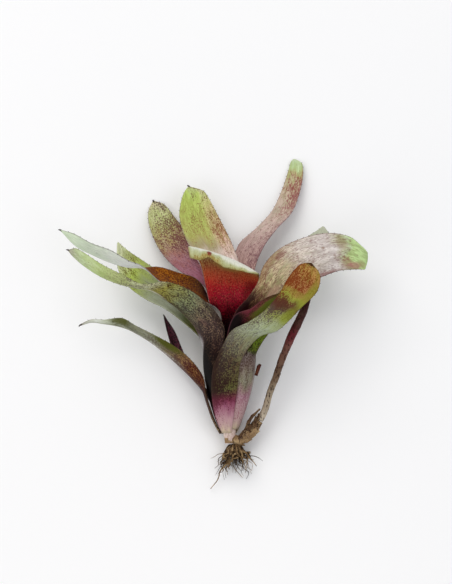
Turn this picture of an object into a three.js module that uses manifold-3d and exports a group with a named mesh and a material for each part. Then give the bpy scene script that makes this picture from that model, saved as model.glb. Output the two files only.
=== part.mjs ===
// A neoregelia bromeliad, lifted with bare roots and laid on its back. Millimetres.
//
// The plant is modelled in its own frame: the stem runs up +Y from a base at the origin, +X is to
// the right and +Z is the front of the plant. One group then lays it down, so that the root crown
// and the tips of two back leaves rest on the ground plane, with +Z up.
//
// A leaf is lofted through arcs. Each arc is given by three points: the left margin, the midrib and
// the right margin. In the sheath the arcs lie on nested cones round the stem, one layer inside the
// other, and above the sheath they follow the stations of the blade.

import * as THREE from 'three';
import { mergeVertices } from 'three/addons/utils/BufferGeometryUtils.js';
import Module from 'manifold-3d';

const wasm = await Module();
wasm.setup();

// ---------- driving dimensions ----------

const LEAF_THICKNESS = 0.8;
const SEAT_GAP = 0.3;
const LAYER_PITCH = 1.35;
const TOOTH_HEIGHT = 0.9;
const TOOTH_BASE = 1.3;
const LIE_ANGLE = THREE.MathUtils.degToRad(15);
const CROWN_REST = new THREE.Vector2(-6, -6.5);

// outer radius of the bundle of sheaths at each height
const SHEATH_PROFILE = [
  [2, 3.2], [5, 5.1], [8, 7.0], [14, 9.8], [20, 11.9], [28, 14.4], [36, 16.2], [43, 17.2], [51, 17.6], [90, 17.6],
];
// radius of the short stem inside them
const STEM_PROFILE = [
  [-1.5, 0], [-1.5, 2.6], [1.5, 3.0], [4, 4.0], [21, 4.0], [25, 3.2], [27, 0],
];
const STEM_RADIUS = 4.0;

// height of the ground plane, in the plant's own frame, under a point of height y on the stem axis
const groundZ = (y) => CROWN_REST.y - Math.tan(LIE_ANGLE) * (y - CROWN_REST.x);

// Each leaf: layer of its sheath, azimuth and half wrap of the sheath (degrees) at its foot and at
// its throat, height of the throat, and the blade's stations. A station holds the left margin, the
// right margin and the depth of the channel between them. Azimuth 0 is +X and 90 is the front.
const LEAVES = {
  leaf_front_right: {
    layer: 1, azimuth: [118, 98], wrap: [42, 28], throat: 44, colour: '#8f9c7f', teeth: true,
    blade: [
      [-4, 58, 19, 8.6, 52.2, 20.5, 1.5], [1.5, 67, 20, 18.4, 63.4, 24.3, 1.5], [12, 72.5, 24, 28.5, 66.8, 28, 1.5],
      [22, 80, 28, 36, 73.2, 31, 1.5], [30, 89.5, 31, 43.2, 80.8, 33, 1], [35.5, 99, 31, 53, 91, 32, 1],
      [43, 107, 28.5, 54.5, 101, 29.5, 0.5],
    ],
    tip: [49.5, 107.5, 27.5],
  },
  leaf_front_left: {
    layer: 2, azimuth: [154, 148], wrap: [48, 42], throat: 52, colour: '#7f8266', teeth: true,
    blade: [
      [-18, 62, 5, -3, 68, 16, 2.5], [-21, 69, 8, -7, 76.5, 19, 2.5], [-28, 77, 12, -15, 85, 21, 2],
      [-37, 84.5, 16, -26, 92.5, 22, 2], [-47, 91, 18.5, -39, 96.5, 23, 1.5], [-56, 92.6, 18.5, -52, 95, 22.5, 1],
      [-66, 94.5, 18, -64, 100.5, 22, 1], [-78, 99.5, 15.5, -77, 107, 19, 1], [-89, 107, 12, -88.5, 114.5, 14.5, 1],
      [-94.5, 112, 9.5, -93, 116.8, 11.5, 0.6],
    ],
    tip: [-97, 115.5, 8.5],
  },
  leaf_front_inner: {
    layer: 2, azimuth: [52, 54], wrap: [42, 40], throat: 50, colour: '#3f3a1c', teeth: false,
    blade: [
      [-1, 66.5, 16.8, 17, 55, 8, 2.5], [3.4, 76.5, 17, 22, 63, 11, 2], [13, 80.5, 17.5, 29, 71.5, 15, 1.5],
      [22, 86.8, 19.5, 33, 79, 19, 1],
    ],
    tip: [32, 90, 22],
  },
  leaf_right_arching: {
    layer: 3, azimuth: [38, 38], wrap: [73, 62], throat: 60, colour: '#b5a5a0', teeth: true,
    blade: [
      [4, 79, 11.5, 18, 72, -2, 3], [11, 87, 11, 25, 81, 0, 3], [17, 96, 9.5, 32, 88, 1.5, 2.5],
      [20.5, 106, 8, 39, 93, 4, 2], [29, 115.5, 6.5, 48, 97, 6, 2], [43, 122.5, 5, 56, 99.5, 8, 2],
      [60, 126, 3.5, 66, 103, 9.5, 2], [74, 123.5, 1.5, 76.5, 104, 8, 1.5], [83, 114.6, -0.6, 81.8, 104, 5, 1],
    ],
    tip: [83.9, 109.6, 2],
  },
  leaf_back_right: {
    layer: 2, azimuth: [310, 318], wrap: [44, 38], throat: 54, colour: '#8f9a80', teeth: true,
    blade: [
      [17, 65, -5, 4, 68, -17.5, 2], [25, 76.5, -9, 14, 84, -20, 2], [37, 89, -11, 26, 99, -22, 2],
      [49, 103, -13, 36, 113.5, -23, 1.5], [57.5, 115, -16, 45.5, 122.6, -23, 1],
      [60.6, 125, -18.5, 53.5, 127.8, -22.5, 0.5],
    ],
    tip: [57.2, 130.2, -22],
  },
  leaf_left_broad: {
    layer: 3, azimuth: [190, 190], wrap: [63, 50], throat: 52, colour: '#9ab553', teeth: true,
    blade: [
      [-11, 68, -13, -18, 62.5, -0.5, 2.5], [-20, 87, -13, -27, 71, -1, 2.5], [-32, 97, -13, -39, 80, -3, 2],
      [-45, 104.5, -13, -51, 86, -5, 2], [-55, 111, -13.5, -62, 94.5, -7, 1.5], [-61.5, 115.4, -14, -67.8, 105, -10, 1],
    ],
    tip: [-68, 120.3, -14],
  },
  leaf_long_left: {
    layer: 4, azimuth: [160, 158], wrap: [60, 46], throat: 66, colour: '#a8623c', teeth: true,
    blade: [
      [-14, 89.5, -10, -6, 78.5, 12, 3], [-20.5, 98.5, -7, -16, 85, 11, 2], [-31, 102, -4, -29, 91, 11, 1.5],
      [-43, 105.5, -2.5, -42, 96.5, 9.5, 1], [-52.5, 105, -2, -53, 106, 6.5, 0.6], [-62, 105.5, -1.5, -61, 109, 6.5, 0.6],
      [-72, 109, -1.5, -72, 115.5, 5, 0.8], [-83, 114, -2, -84, 120, 3.5, 0.8], [-93, 119.5, -3, -94, 125.5, 1, 0.6],
    ],
    tip: [-102, 127.5, -3],
  },
  leaf_top_right: {
    layer: 4, azimuth: [325, 322], wrap: [58, 36], throat: 68, colour: '#a8908c', teeth: true,
    blade: [
      [17, 88, -7, 3, 91, -17, 2], [15, 103, -14, 2, 106, -22, 2], [20, 116.5, -20, 5.5, 119, -27, 2],
      [28.5, 128.5, -27, 16, 129, -33, 2], [38, 139, -34, 26, 140, -39, 1.5], [43, 151.5, -41.5, 32.5, 154, -46, 1.5],
      [45, 163, -47.5, 36, 164.5, -50.5, 1], [44.2, 169.4, -50.9, 37.8, 170.4, -52.6, 0.8],
    ],
    tip: [39.8, 171.6, groundZ(171.6)],
  },
  leaf_top_left: {
    layer: 5, azimuth: [243, 246], wrap: [60, 34], throat: 70, colour: '#8c6a58', teeth: true,
    blade: [
      [2, 86, -15, -11, 87, -13, 2], [-4, 100, -19, -17.5, 96, -15, 2], [-13, 113, -25, -30, 103, -19, 2],
      [-25, 126, -33, -42, 115, -27, 2], [-33.5, 136, -39, -49, 131, -37, 1.5], [-40, 144, -44, -49.5, 140, -43, 1],
    ],
    tip: [-46.5, 145.8, groundZ(145.8)],
  },
  leaf_top_middle: {
    layer: 6, azimuth: [285, 278], wrap: [66, 48], throat: 72, colour: '#a3be5c', teeth: true,
    blade: [
      [10, 94, -10, -11, 94, -7.5, 3], [6, 108, -15, -19, 109, -14, 2.5], [1, 121, -21, -27, 124, -20, 2.5],
      [-7, 137, -28, -30.5, 137, -27, 2], [-12.6, 147.5, -33.3, -29, 147.5, -32.5, 1],
      [-15.8, 152, -35.5, -27.2, 152, -35, 0.8],
    ],
    tip: [-24.6, 154.6, -37],
  },
  leaf_centre_red: {
    layer: 7, azimuth: [262, 268], wrap: [80, 70], throat: 74, colour: '#8a0a1e', teeth: false,
    blade: [
      [12, 83, -1, -12, 83, -1, 7], [16.6, 92.5, -1, -14.6, 94, -0.5, 6.5], [17.9, 98.4, 1, -18, 108, 1, 5],
      [18, 101, 3.5, -24.6, 117.5, 4, 3], [17.7, 100.6, 6, -25, 117, 7.6, 1], [17.2, 99, 6.8, -24, 111, 9.4, 0.5],
    ],
    tip: null,
  },
  leaf_back: {
    layer: 1, azimuth: [275, 275], wrap: [58, 42], throat: 44, colour: '#7f8f63', teeth: true,
    blade: [
      [11, 54, -18.5, -10, 54, -18.5, 2], [12, 67, -22.5, -10.5, 67, -22.5, 2], [11.5, 80, -26.5, -9.5, 80, -26.5, 2],
      [8, 92, -30, -6, 92, -30, 1],
    ],
    tip: [1, 101, -33],
  },
  leaf_side_low: {
    layer: 0, azimuth: [184, 180], wrap: [26, 22], throat: 29, colour: '#8a5a3c', teeth: true,
    blade: [
      [-21, 36, -5, -15.8, 38.6, 4.5, 2], [-28, 43, -4.5, -24, 50, 4, 2], [-35.5, 50, -4, -34, 58, 4, 2],
      [-46, 58.5, -4, -45, 64, 3.5, 1.5], [-57, 65.5, -4, -57, 70, 1.5, 1.5], [-66, 69, -4, -65, 74.5, -1, 1],
      [-76, 71, -5, -76, 73.5, -2.5, 0.6], [-84, 72, -6, -84, 73.6, -4.5, 0.4],
    ],
    tip: [-90, 70.5, -6.5],
  },
  leaf_side_spike: {
    layer: 0, azimuth: [228, 222], wrap: [12, 10], throat: 24, colour: '#35101e', teeth: false,
    blade: [
      [-17.5, 36, -14, -20, 35, -9.5, 0.8], [-25, 48, -14, -27.5, 47, -9.5, 1], [-29.5, 57.5, -13.5, -34.5, 56, -10, 1.5],
      [-33, 66, -12.5, -37.5, 65, -10, 1.2],
    ],
    tip: [-39.3, 75, -11],
  },
};

// what the loft of a leaf is cut into
const SHEATH_STEP = 6;
const BLADE_STEP = 6.5;
const ARC_STEP = THREE.MathUtils.degToRad(20);
const COLUMNS = [4, 8];

const FLESH = { roughness: 0.5, metalness: 0 };

// ---------- small helpers ----------

const vec = (x, y, z) => new THREE.Vector3(x, y, z);

function profileRadius(y) {
  const last = SHEATH_PROFILE.length - 1;
  let i = 1;
  while (i < last && SHEATH_PROFILE[i][0] < y) i += 1;
  const [y0, r0] = SHEATH_PROFILE[i - 1];
  const [y1, r1] = SHEATH_PROFILE[i];
  return THREE.MathUtils.mapLinear(y, y0, y1, r0, r1);
}

const layerRadius = (layer, y) => profileRadius(y) - LEAF_THICKNESS / 2 - (layer - 1) * LAYER_PITCH;

// lowest height at which a layer clears the stem
function sheathFoot(layer) {
  const clear = STEM_RADIUS + SEAT_GAP + LEAF_THICKNESS / 2;
  let y = 4.5;
  while (layerRadius(layer, y) < clear) y += 0.1;
  return y;
}

function toManifold(geometry) {
  const bare = geometry.clone();
  bare.deleteAttribute('normal');
  bare.deleteAttribute('uv');
  const merged = mergeVertices(bare, 1e-4);
  return new wasm.Manifold(new wasm.Mesh({
    numProp: 3,
    vertProperties: new Float32Array(merged.attributes.position.array),
    triVerts: new Uint32Array(merged.index.array),
  }));
}

function fromManifold(solid) {
  const mesh = solid.getMesh();
  return closedGeometry(Array.from(mesh.vertProperties), Array.from(mesh.triVerts));
}

function closedGeometry(positions, indices) {
  const geometry = new THREE.BufferGeometry();
  geometry.setAttribute('position', new THREE.Float32BufferAttribute(positions, 3));
  geometry.setIndex(indices);
  geometry.computeVertexNormals();
  return geometry;
}

function part(name, geometry, colour, finish = FLESH) {
  const mesh = new THREE.Mesh(geometry, new THREE.MeshStandardMaterial({ color: colour, ...finish }));
  mesh.name = name;
  return mesh;
}

// a round limb through given points, with a radius at each of them and closed ends
function limb(points, radii, sides, steps) {
  const curve = new THREE.CatmullRomCurve3(points.map((p) => vec(...p)));
  const frames = curve.computeFrenetFrames(steps, false);
  const positions = [];
  const indices = [];
  const ring = (k, i) => k * sides + (i % sides);
  for (let k = 0; k <= steps; k += 1) {
    const u = k / steps;
    const centre = curve.getPointAt(u);
    const slot = Math.min(curve.getUtoTmapping(u) * (radii.length - 1), radii.length - 1 - 1e-6);
    const low = Math.floor(slot);
    const radius = THREE.MathUtils.lerp(radii[low], radii[low + 1], slot - low);
    for (let i = 0; i < sides; i += 1) {
      const angle = (i / sides) * Math.PI * 2;
      const p = centre.clone()
        .addScaledVector(frames.normals[k], radius * Math.cos(angle))
        .addScaledVector(frames.binormals[k], radius * Math.sin(angle));
      positions.push(p.x, p.y, p.z);
    }
  }
  for (let k = 0; k < steps; k += 1) {
    for (let i = 0; i < sides; i += 1) {
      indices.push(ring(k, i), ring(k, i + 1), ring(k + 1, i + 1));
      indices.push(ring(k, i), ring(k + 1, i + 1), ring(k + 1, i));
    }
  }
  const foot = (steps + 1) * sides;
  positions.push(...curve.getPointAt(0).toArray(), ...curve.getPointAt(1).toArray());
  for (let i = 0; i < sides; i += 1) {
    indices.push(foot, ring(0, i + 1), ring(0, i));
    indices.push(foot + 1, ring(steps, i), ring(steps, i + 1));
  }
  return closedGeometry(positions, indices);
}

// ---------- leaves ----------

// an arc of the sheath, as left margin, midrib and right margin
function sheathArc(leaf, y, foot) {
  const s = (y - foot) / (leaf.throat - foot);
  const azimuth = THREE.MathUtils.lerp(...leaf.azimuth, s);
  const wrap = THREE.MathUtils.lerp(...leaf.wrap, s);
  const radius = layerRadius(leaf.layer, y);
  const at = (degrees) => {
    const angle = THREE.MathUtils.degToRad(degrees);
    return vec(radius * Math.cos(angle), y, radius * Math.sin(angle));
  };
  return [at(azimuth + wrap), at(azimuth), at(azimuth - wrap)];
}

function bladeArcs(leaf, lastSheathArc) {
  const rows = leaf.blade.map(([lx, ly, lz, rx, ry, rz, channel]) => ({
    left: vec(lx, ly, lz), right: vec(rx, ry, rz), channel,
  }));
  if (leaf.tip) {
    const end = rows[rows.length - 1];
    const tip = vec(...leaf.tip);
    const across = end.left.clone().sub(end.right).setLength(0.5);
    rows.push({ left: tip.clone().add(across), right: tip.clone().sub(across), channel: 0.05 });
  }
  const mids = [lastSheathArc[1], ...rows.map((row) => row.left.clone().lerp(row.right, 0.5))];
  return rows.map((row, i) => {
    const along = mids[Math.min(i + 2, mids.length - 1)].clone().sub(mids[i]);
    const outward = along.cross(row.left.clone().sub(row.right)).normalize();
    const midrib = mids[i + 1].clone().addScaledVector(outward, row.channel);
    return [row.left, midrib, row.right];
  });
}

// all sheaths are cut at the same heights, so that the layers stay parallel
function sheathHeights(foot, throat) {
  const heights = [foot];
  for (let y = SHEATH_STEP; y < throat - 2; y += SHEATH_STEP) {
    if (y > foot + 2) heights.push(y);
  }
  return [...heights, throat];
}

// all cross-sections of a leaf, from the foot of its sheath to its tip
function leafArcs(leaf) {
  const foot = sheathFoot(leaf.layer);
  const sheath = sheathHeights(foot, leaf.throat).map((y) => sheathArc(leaf, y, foot));
  const knots = [...sheath.slice(-2), ...bladeArcs(leaf, sheath[sheath.length - 1])];
  const curves = [0, 1, 2].map((k) => new THREE.CatmullRomCurve3(knots.map((arc) => arc[k])));
  const spans = knots.length - 1;
  const arcs = [...sheath];
  for (let i = 1; i < spans; i += 1) {
    const length = knots[i][1].distanceTo(knots[i + 1][1]);
    const cuts = Math.max(1, Math.round(length / BLADE_STEP));
    for (let j = 1; j <= cuts; j += 1) {
      arcs.push(curves.map((curve) => curve.getPoint((i + j / cuts) / spans)));
    }
  }
  return { arcs, sheathRows: sheath.length };
}

// a point across an arc, v from -1 at the right margin to 1 at the left one
function arcPoint([left, midrib, right], v) {
  const half = left.clone().sub(right).multiplyScalar(0.5);
  const middle = left.clone().lerp(right, 0.5);
  const rise = midrib.clone().sub(middle);
  const bend = Math.max(2 * Math.atan(rise.length() / half.length()), 0.02);
  return middle
    .addScaledVector(half, Math.sin(v * bend) / Math.sin(bend))
    .addScaledVector(rise, (Math.cos(v * bend) - Math.cos(bend)) / (1 - Math.cos(bend)));
}

function columnsFor(leaf) {
  const wanted = Math.ceil((2 * THREE.MathUtils.degToRad(leaf.wrap[0])) / ARC_STEP);
  const even = wanted + (wanted % 2);
  return THREE.MathUtils.clamp(even, ...COLUMNS);
}

function leafGeometry(leaf) {
  const { arcs, sheathRows } = leafArcs(leaf);
  const columns = columnsFor(leaf);
  const rows = arcs.length - 1;
  const grid = arcs.map((arc) => {
    const line = [];
    for (let c = 0; c <= columns; c += 1) line.push(arcPoint(arc, 1 - (2 * c) / columns));
    return line;
  });
  const positions = [];
  const add = (p) => positions.push(p.x, p.y, p.z) / 3 - 1;
  const outer = [];
  const inner = [];
  for (let r = 0; r <= rows; r += 1) {
    outer.push([]);
    inner.push([]);
    for (let c = 0; c <= columns; c += 1) {
      const along = grid[Math.min(r + 1, rows)][c].clone().sub(grid[Math.max(r - 1, 0)][c]);
      const across = grid[r][Math.max(c - 1, 0)].clone().sub(grid[r][Math.min(c + 1, columns)]);
      const normal = along.cross(across).normalize();
      outer[r].push(add(lifted(grid[r][c].clone().addScaledVector(normal, LEAF_THICKNESS / 2), 0)));
      inner[r].push(add(lifted(grid[r][c].clone().addScaledVector(normal, -LEAF_THICKNESS / 2), LEAF_THICKNESS)));
    }
  }
  const indices = [];
  const margin = { positions, indices, add };
  for (let r = 0; r < rows; r += 1) {
    for (let c = 0; c < columns; c += 1) {
      if (c > 0 && c < columns - 1) {
        quad(indices, outer[r][c], outer[r][c + 1], outer[r + 1][c + 1], outer[r + 1][c]);
        quad(indices, inner[r][c + 1], inner[r][c], inner[r + 1][c], inner[r + 1][c + 1]);
      }
    }
    const toothed = leaf.teeth && r >= sheathRows && r < rows - 1;
    marginStrip(margin, outer, inner, r, 0, 1, toothed && r % 2 === 0);
    marginStrip(margin, outer, inner, r, columns, -1, toothed && r % 2 === 1);
  }
  for (let c = 0; c < columns; c += 1) {
    quad(indices, outer[0][c + 1], outer[0][c], inner[0][c], inner[0][c + 1]);
    quad(indices, outer[rows][c], outer[rows][c + 1], inner[rows][c + 1], inner[rows][c]);
  }
  return closedGeometry(positions, indices);
}

// keeps a point of a leaf at or above the ground, in the plant's own frame
function lifted(point, height) {
  const low = groundZ(point.y) + height / Math.cos(LIE_ANGLE);
  if (point.z < low) point.z = low;
  return point;
}

function quad(indices, a, b, c, d) {
  indices.push(a, b, c, a, c, d);
}

// the outermost strip of cells along one margin, with a spine in the middle of it where asked
function marginStrip({ positions, indices, add }, outer, inner, r, edge, step, spined) {
  const point = (i) => vec(positions[3 * i], positions[3 * i + 1], positions[3 * i + 2]);
  const near = edge + step;
  const rim = [[outer[r][edge], inner[r][edge]], [outer[r + 1][edge], inner[r + 1][edge]]];
  let apex = -1;
  if (spined) {
    const ends = rim.map((pair) => pair.map(point));
    const share = TOOTH_BASE / ends[0][0].distanceTo(ends[1][0]) / 2;
    const pairs = [0.5 - share, 0.5 + share].map((t) => [0, 1].map((k) => add(ends[0][k].clone().lerp(ends[1][k], t))));
    const root = point(pairs[0][0]).lerp(point(pairs[1][1]), 0.5);
    const outward = root.clone().sub(point(outer[r][near]).lerp(point(inner[r + 1][near]), 0.5)).normalize();
    const forward = ends[1][0].clone().sub(ends[0][0]).normalize();
    const top = root.addScaledVector(outward, TOOTH_HEIGHT).addScaledVector(forward, TOOTH_HEIGHT * 0.5);
    apex = add(top);
    rim.splice(1, 0, ...pairs);
  }
  const push = (...corners) => indices.push(...(step > 0 ? corners : corners.reverse()));
  for (let k = 0; k + 1 < rim.length; k += 1) {
    const [[a, b], [c, d]] = [rim[k], rim[k + 1]];
    push(outer[r][near], c, a);
    push(inner[r][near], b, d);
    if (apex >= 0 && k === 1) {
      push(a, c, apex);
      push(c, d, apex);
      push(d, b, apex);
      push(b, a, apex);
    } else {
      push(a, c, d);
      push(a, d, b);
    }
  }
  const last = rim[rim.length - 1];
  push(outer[r][near], outer[r + 1][near], last[0]);
  push(inner[r][near], last[1], inner[r + 1][near]);
}

// ---------- stem, stolon, roots and scale ----------

const RHIZOME = {
  points: [[1, 1.5, 0], [6.5, 0.6, 0], [11.3, 4.2, 0.4], [15.4, 8.4, 0.8], [18, 12.2, 1.1]],
  radii: [2.6, 3.3, 3.9, 3.3, 2.4],
};
const STUB = {
  points: [[11.5, 5, 2], [11.2, 10.5, 3], [13.6, 14.6, 3.8], [18.5, 19.5, 4.5]],
  radii: [1.3, 1.2, 0.9, 0.5],
};
const STOLON = {
  points: [
    [18.3, 12.65, 1.15], [21.6, 19.2, 1.8], [24.1, 28, 2.6], [28, 39, 4], [32, 50, 6],
    [36, 60, 8.5], [40.5, 70, 11], [45, 79, 13], [48.5, 85.5, 14],
  ],
  radii: [2.2, 2.1, 2.0, 2.0, 2.1, 2.4, 2.7, 2.3, 0.6],
};
const STEM_COLOUR = '#d0c29e';
const STOLON_COLOUR = '#8b7355';
const ROOT_COLOUR = '#4a3828';
const SCALE_COLOUR = '#7a5a3c';

function stemGeometry() {
  const caudex = new THREE.LatheGeometry(STEM_PROFILE.map(([y, r]) => new THREE.Vector2(r, y)), 14);
  const rhizome = limb(RHIZOME.points, RHIZOME.radii, 9, 9);
  const stub = limb(STUB.points, STUB.radii, 5, 6);
  return fromManifold(toManifold(caudex).add(toManifold(rhizome)).add(toManifold(stub)));
}

const ROOTS = {
  seed: 7,
  count: 17,
  sides: 5,
  steps: 5,
  crownCentre: [3, -6.2, 0],
  crownRadii: [5.6, 4.2, 7.4],
  thick: 1.0,
  thin: 0.4,
  // the one long fine root that trails to the left
  trailing: [[0, -9, 2], [-3, -17, 3], [-8, -24, 2.5], [-11.5, -29, 2]],
};

function randomFrom(seed) {
  let state = seed;
  return () => {
    state = (state * 16807) % 2147483647;
    return state / 2147483647;
  };
}

// roots fan out below the crown, each drooping a little, and none of them dips under the ground
function rootPaths() {
  const random = randomFrom(ROOTS.seed);
  const [cx, cy, cz] = ROOTS.crownCentre;
  const paths = [];
  for (let i = 0; i < ROOTS.count; i += 1) {
    const turn = (i * 137.5 * Math.PI) / 180;
    const spread = 0.15 + 0.75 * random();
    const length = 6 + 11 * random();
    const sway = (random() - 0.5) * 5;
    const out = vec(Math.cos(turn) * spread, -1, Math.sin(turn) * spread * 0.8).normalize();
    const start = vec(cx + out.x * 2.5, cy - 1.5, cz + out.z * 2.5);
    const path = [0, 0.35, 0.7, 1].map((t) => {
      const p = start.clone().addScaledVector(out, length * t);
      p.x += sway * t * t;
      p.z = Math.max(p.z, groundZ(p.y) + ROOTS.thick + 0.2);
      return p.toArray();
    });
    paths.push(path);
  }
  paths.push(ROOTS.trailing);
  return paths;
}

function rootGeometry() {
  const crown = new THREE.SphereGeometry(1, 12, 8);
  crown.scale(...ROOTS.crownRadii);
  crown.translate(...ROOTS.crownCentre);
  let bunch = toManifold(crown);
  for (const path of rootPaths()) {
    const middle = (ROOTS.thick + ROOTS.thin) / 2;
    bunch = bunch.add(toManifold(limb(path, [ROOTS.thick, middle, ROOTS.thin], ROOTS.sides, ROOTS.steps)));
  }
  const seat = new THREE.BoxGeometry(60, 20, 60);
  seat.translate(0, STEM_PROFILE[0][0] - SEAT_GAP + 10, 0);
  const rhizomeRoom = limb(RHIZOME.points, RHIZOME.radii.map((r) => r + SEAT_GAP), 12, 9);
  const ground = new THREE.BoxGeometry(80, 80, 20);
  ground.translate(0, 0, -10);
  ground.rotateX(-LIE_ANGLE);
  ground.translate(0, CROWN_REST.x, CROWN_REST.y);
  return fromManifold(bunch.subtract(toManifold(seat)).subtract(toManifold(rhizomeRoom)).subtract(toManifold(ground)));
}

const SCALE_PATH = [[15.9, 39.8, 4.5], [16.6, 42.5, 4.6], [17.3, 45, 4.8], [18, 46.8, 4.9]];

const scaleGeometry = () => limb(SCALE_PATH, [0.6, 1.1, 1.0, 0.4], 6, 4);

// ---------- the plant, laid down ----------

const plant = new THREE.Group();
for (const [name, leaf] of Object.entries(LEAVES)) plant.add(part(name, leafGeometry(leaf), leaf.colour));
plant.add(part('stem', stemGeometry(), STEM_COLOUR, { roughness: 0.7, metalness: 0 }));
plant.add(part('stolon', limb(STOLON.points, STOLON.radii, 8, 16), STOLON_COLOUR, { roughness: 0.7, metalness: 0 }));
plant.add(part('roots', rootGeometry(), ROOT_COLOUR, { roughness: 0.9, metalness: 0 }));
plant.add(part('dry_scale', scaleGeometry(), SCALE_COLOUR, { roughness: 0.9, metalness: 0 }));

plant.rotation.x = LIE_ANGLE;
plant.updateMatrixWorld(true);
const box = new THREE.Box3().setFromObject(plant, true);
plant.position.set(-(box.min.x + box.max.x) / 2, -(box.min.y + box.max.y) / 2, -box.min.z);

const neoregelia = new THREE.Group();
neoregelia.add(plant);

export default neoregelia;
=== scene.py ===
# %% [markdown]
# # A neoregelia bromeliad, lifted with bare roots
#
# The real plant is a rosette of tough strap leaves. Their broad sheaths wrap a short stem in nested
# layers, and above the sheaths each blade arches out on its own line. The plant lies on its back, so
# the roots and the tips of two back leaves touch the floor. The construction model already holds
# every leaf at its real size and place. This script loads it as a fixed frame, and makes a finer
# piece over each of its nodes, in metres and in the same frame.

# %% Load the frame
import math
import random

import bmesh
import bpy
from mathutils import Matrix, Vector, noise


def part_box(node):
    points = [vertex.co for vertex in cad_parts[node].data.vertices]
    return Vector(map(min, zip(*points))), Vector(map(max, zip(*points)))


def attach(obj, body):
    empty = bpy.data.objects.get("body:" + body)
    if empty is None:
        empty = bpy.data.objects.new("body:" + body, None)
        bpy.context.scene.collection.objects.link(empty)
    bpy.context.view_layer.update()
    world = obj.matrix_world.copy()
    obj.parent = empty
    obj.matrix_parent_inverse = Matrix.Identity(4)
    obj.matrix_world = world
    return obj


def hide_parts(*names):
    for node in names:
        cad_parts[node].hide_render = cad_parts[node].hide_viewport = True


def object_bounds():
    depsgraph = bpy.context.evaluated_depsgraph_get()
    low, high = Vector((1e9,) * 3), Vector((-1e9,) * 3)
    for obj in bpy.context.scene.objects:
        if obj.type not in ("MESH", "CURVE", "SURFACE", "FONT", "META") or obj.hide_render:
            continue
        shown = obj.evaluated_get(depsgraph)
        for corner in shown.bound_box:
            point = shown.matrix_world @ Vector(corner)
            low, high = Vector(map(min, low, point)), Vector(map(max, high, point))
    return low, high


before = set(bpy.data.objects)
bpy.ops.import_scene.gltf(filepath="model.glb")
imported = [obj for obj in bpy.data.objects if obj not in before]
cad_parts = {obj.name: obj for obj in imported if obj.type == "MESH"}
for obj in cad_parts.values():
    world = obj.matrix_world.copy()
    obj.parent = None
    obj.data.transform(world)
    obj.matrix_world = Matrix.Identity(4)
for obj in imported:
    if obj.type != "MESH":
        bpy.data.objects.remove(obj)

cad_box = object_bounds()
MM = 0.001
print("nodes in the frame:", len(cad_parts))

# %% [markdown]
# ## The plant's own frame
#
# A plant is easiest to describe upright: the stem runs up +Y, +X is to its right and +Z is its front.
# The laid plant is that one turned back about X. The turn is known, and the shift is found later, by
# laying the box of one rebuilt leaf over the box of the same leaf in the frame.

# %% Sizes of the sheath bundle, in millimetres
LIE_ANGLE = math.radians(15)
TURN = Matrix.Rotation(LIE_ANGLE, 4, "X")
CROWN_REST = (-6.0, -6.5)  # y and z of the spot where the root crown bears on the floor
LEAF_THICKNESS = 0.8
LAYER_PITCH = 1.35
SEAT_GAP = 0.3
STEM_RADIUS = 4.0
SHEATH_PROFILE = [  # height up the stem, and radius of the whole bundle there
    (2, 3.2), (5, 5.1), (8, 7.0), (14, 9.8), (20, 11.9), (28, 14.4), (36, 16.2), (43, 17.2),
    (51, 17.6), (90, 17.6)]


def ground_z(y):
    """Height of the floor under a point of the upright plant."""
    return CROWN_REST[1] - math.tan(LIE_ANGLE) * (y - CROWN_REST[0])


print("widest sheath radius in mm:", max(radius for _, radius in SHEATH_PROFILE))

# %% [markdown]
# ## Where each leaf runs
#
# A bromeliad leaf has no stalk. It starts as a sheath that hugs the stem, and turns into a channelled
# blade. So each leaf is a row of arcs. In the sheath they lie on nested cones, which only need a
# layer, an azimuth and a wrap, each given at the foot and at the throat where the sheath ends. In the
# blade each arc has its left margin, its right margin and the depth of the channel between them. The
# construction model uses the same routes. Only the ends of the arching leaf and of the longest one
# were drawn again here, and run 1 to 2 mm beside its own.

# %% Routes of the front leaves, in millimetres and degrees
# each arc of a blade: left margin x, y, z, right margin x, y, z, depth of the channel
LEAVES = {
    "leaf_front_right": dict(
        layer=1, azimuth=(118, 98), wrap=(42, 28), throat=44, spines=True, tip=(49.5, 107.5, 27.5),
        blade=[
            (-4, 58, 19, 8.6, 52.2, 20.5, 1.5), (1.5, 67, 20, 18.4, 63.4, 24.3, 1.5),
            (12, 72.5, 24, 28.5, 66.8, 28, 1.5), (22, 80, 28, 36, 73.2, 31, 1.5),
            (30, 89.5, 31, 43.2, 80.8, 33, 1), (35.5, 99, 31, 53, 91, 32, 1),
            (43, 107, 28.5, 54.5, 101, 29.5, 0.5)]),
    "leaf_front_left": dict(
        layer=2, azimuth=(154, 148), wrap=(48, 42), throat=52, spines=True, tip=(-97, 115.5, 8.5),
        blade=[
            (-18, 62, 5, -3, 68, 16, 2.5), (-21, 69, 8, -7, 76.5, 19, 2.5),
            (-28, 77, 12, -15, 85, 21, 2), (-37, 84.5, 16, -26, 92.5, 22, 2),
            (-47, 91, 18.5, -39, 96.5, 23, 1.5), (-56, 92.6, 18.5, -52, 95, 22.5, 1),
            (-66, 94.5, 18, -64, 100.5, 22, 1), (-78, 99.5, 15.5, -77, 107, 19, 1),
            (-89, 107, 12, -88.5, 114.5, 14.5, 1), (-94.5, 112, 9.5, -93, 116.8, 11.5, 0.6)]),
    "leaf_front_inner": dict(
        layer=2, azimuth=(52, 54), wrap=(42, 40), throat=50, spines=False, tip=(32, 90, 22),
        blade=[
            (-1, 66.5, 16.8, 17, 55, 8, 2.5), (3.4, 76.5, 17, 22, 63, 11, 2),
            (13, 80.5, 17.5, 29, 71.5, 15, 1.5), (22, 86.8, 19.5, 33, 79, 19, 1)]),
}
print("routes so far:", len(LEAVES))

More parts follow.
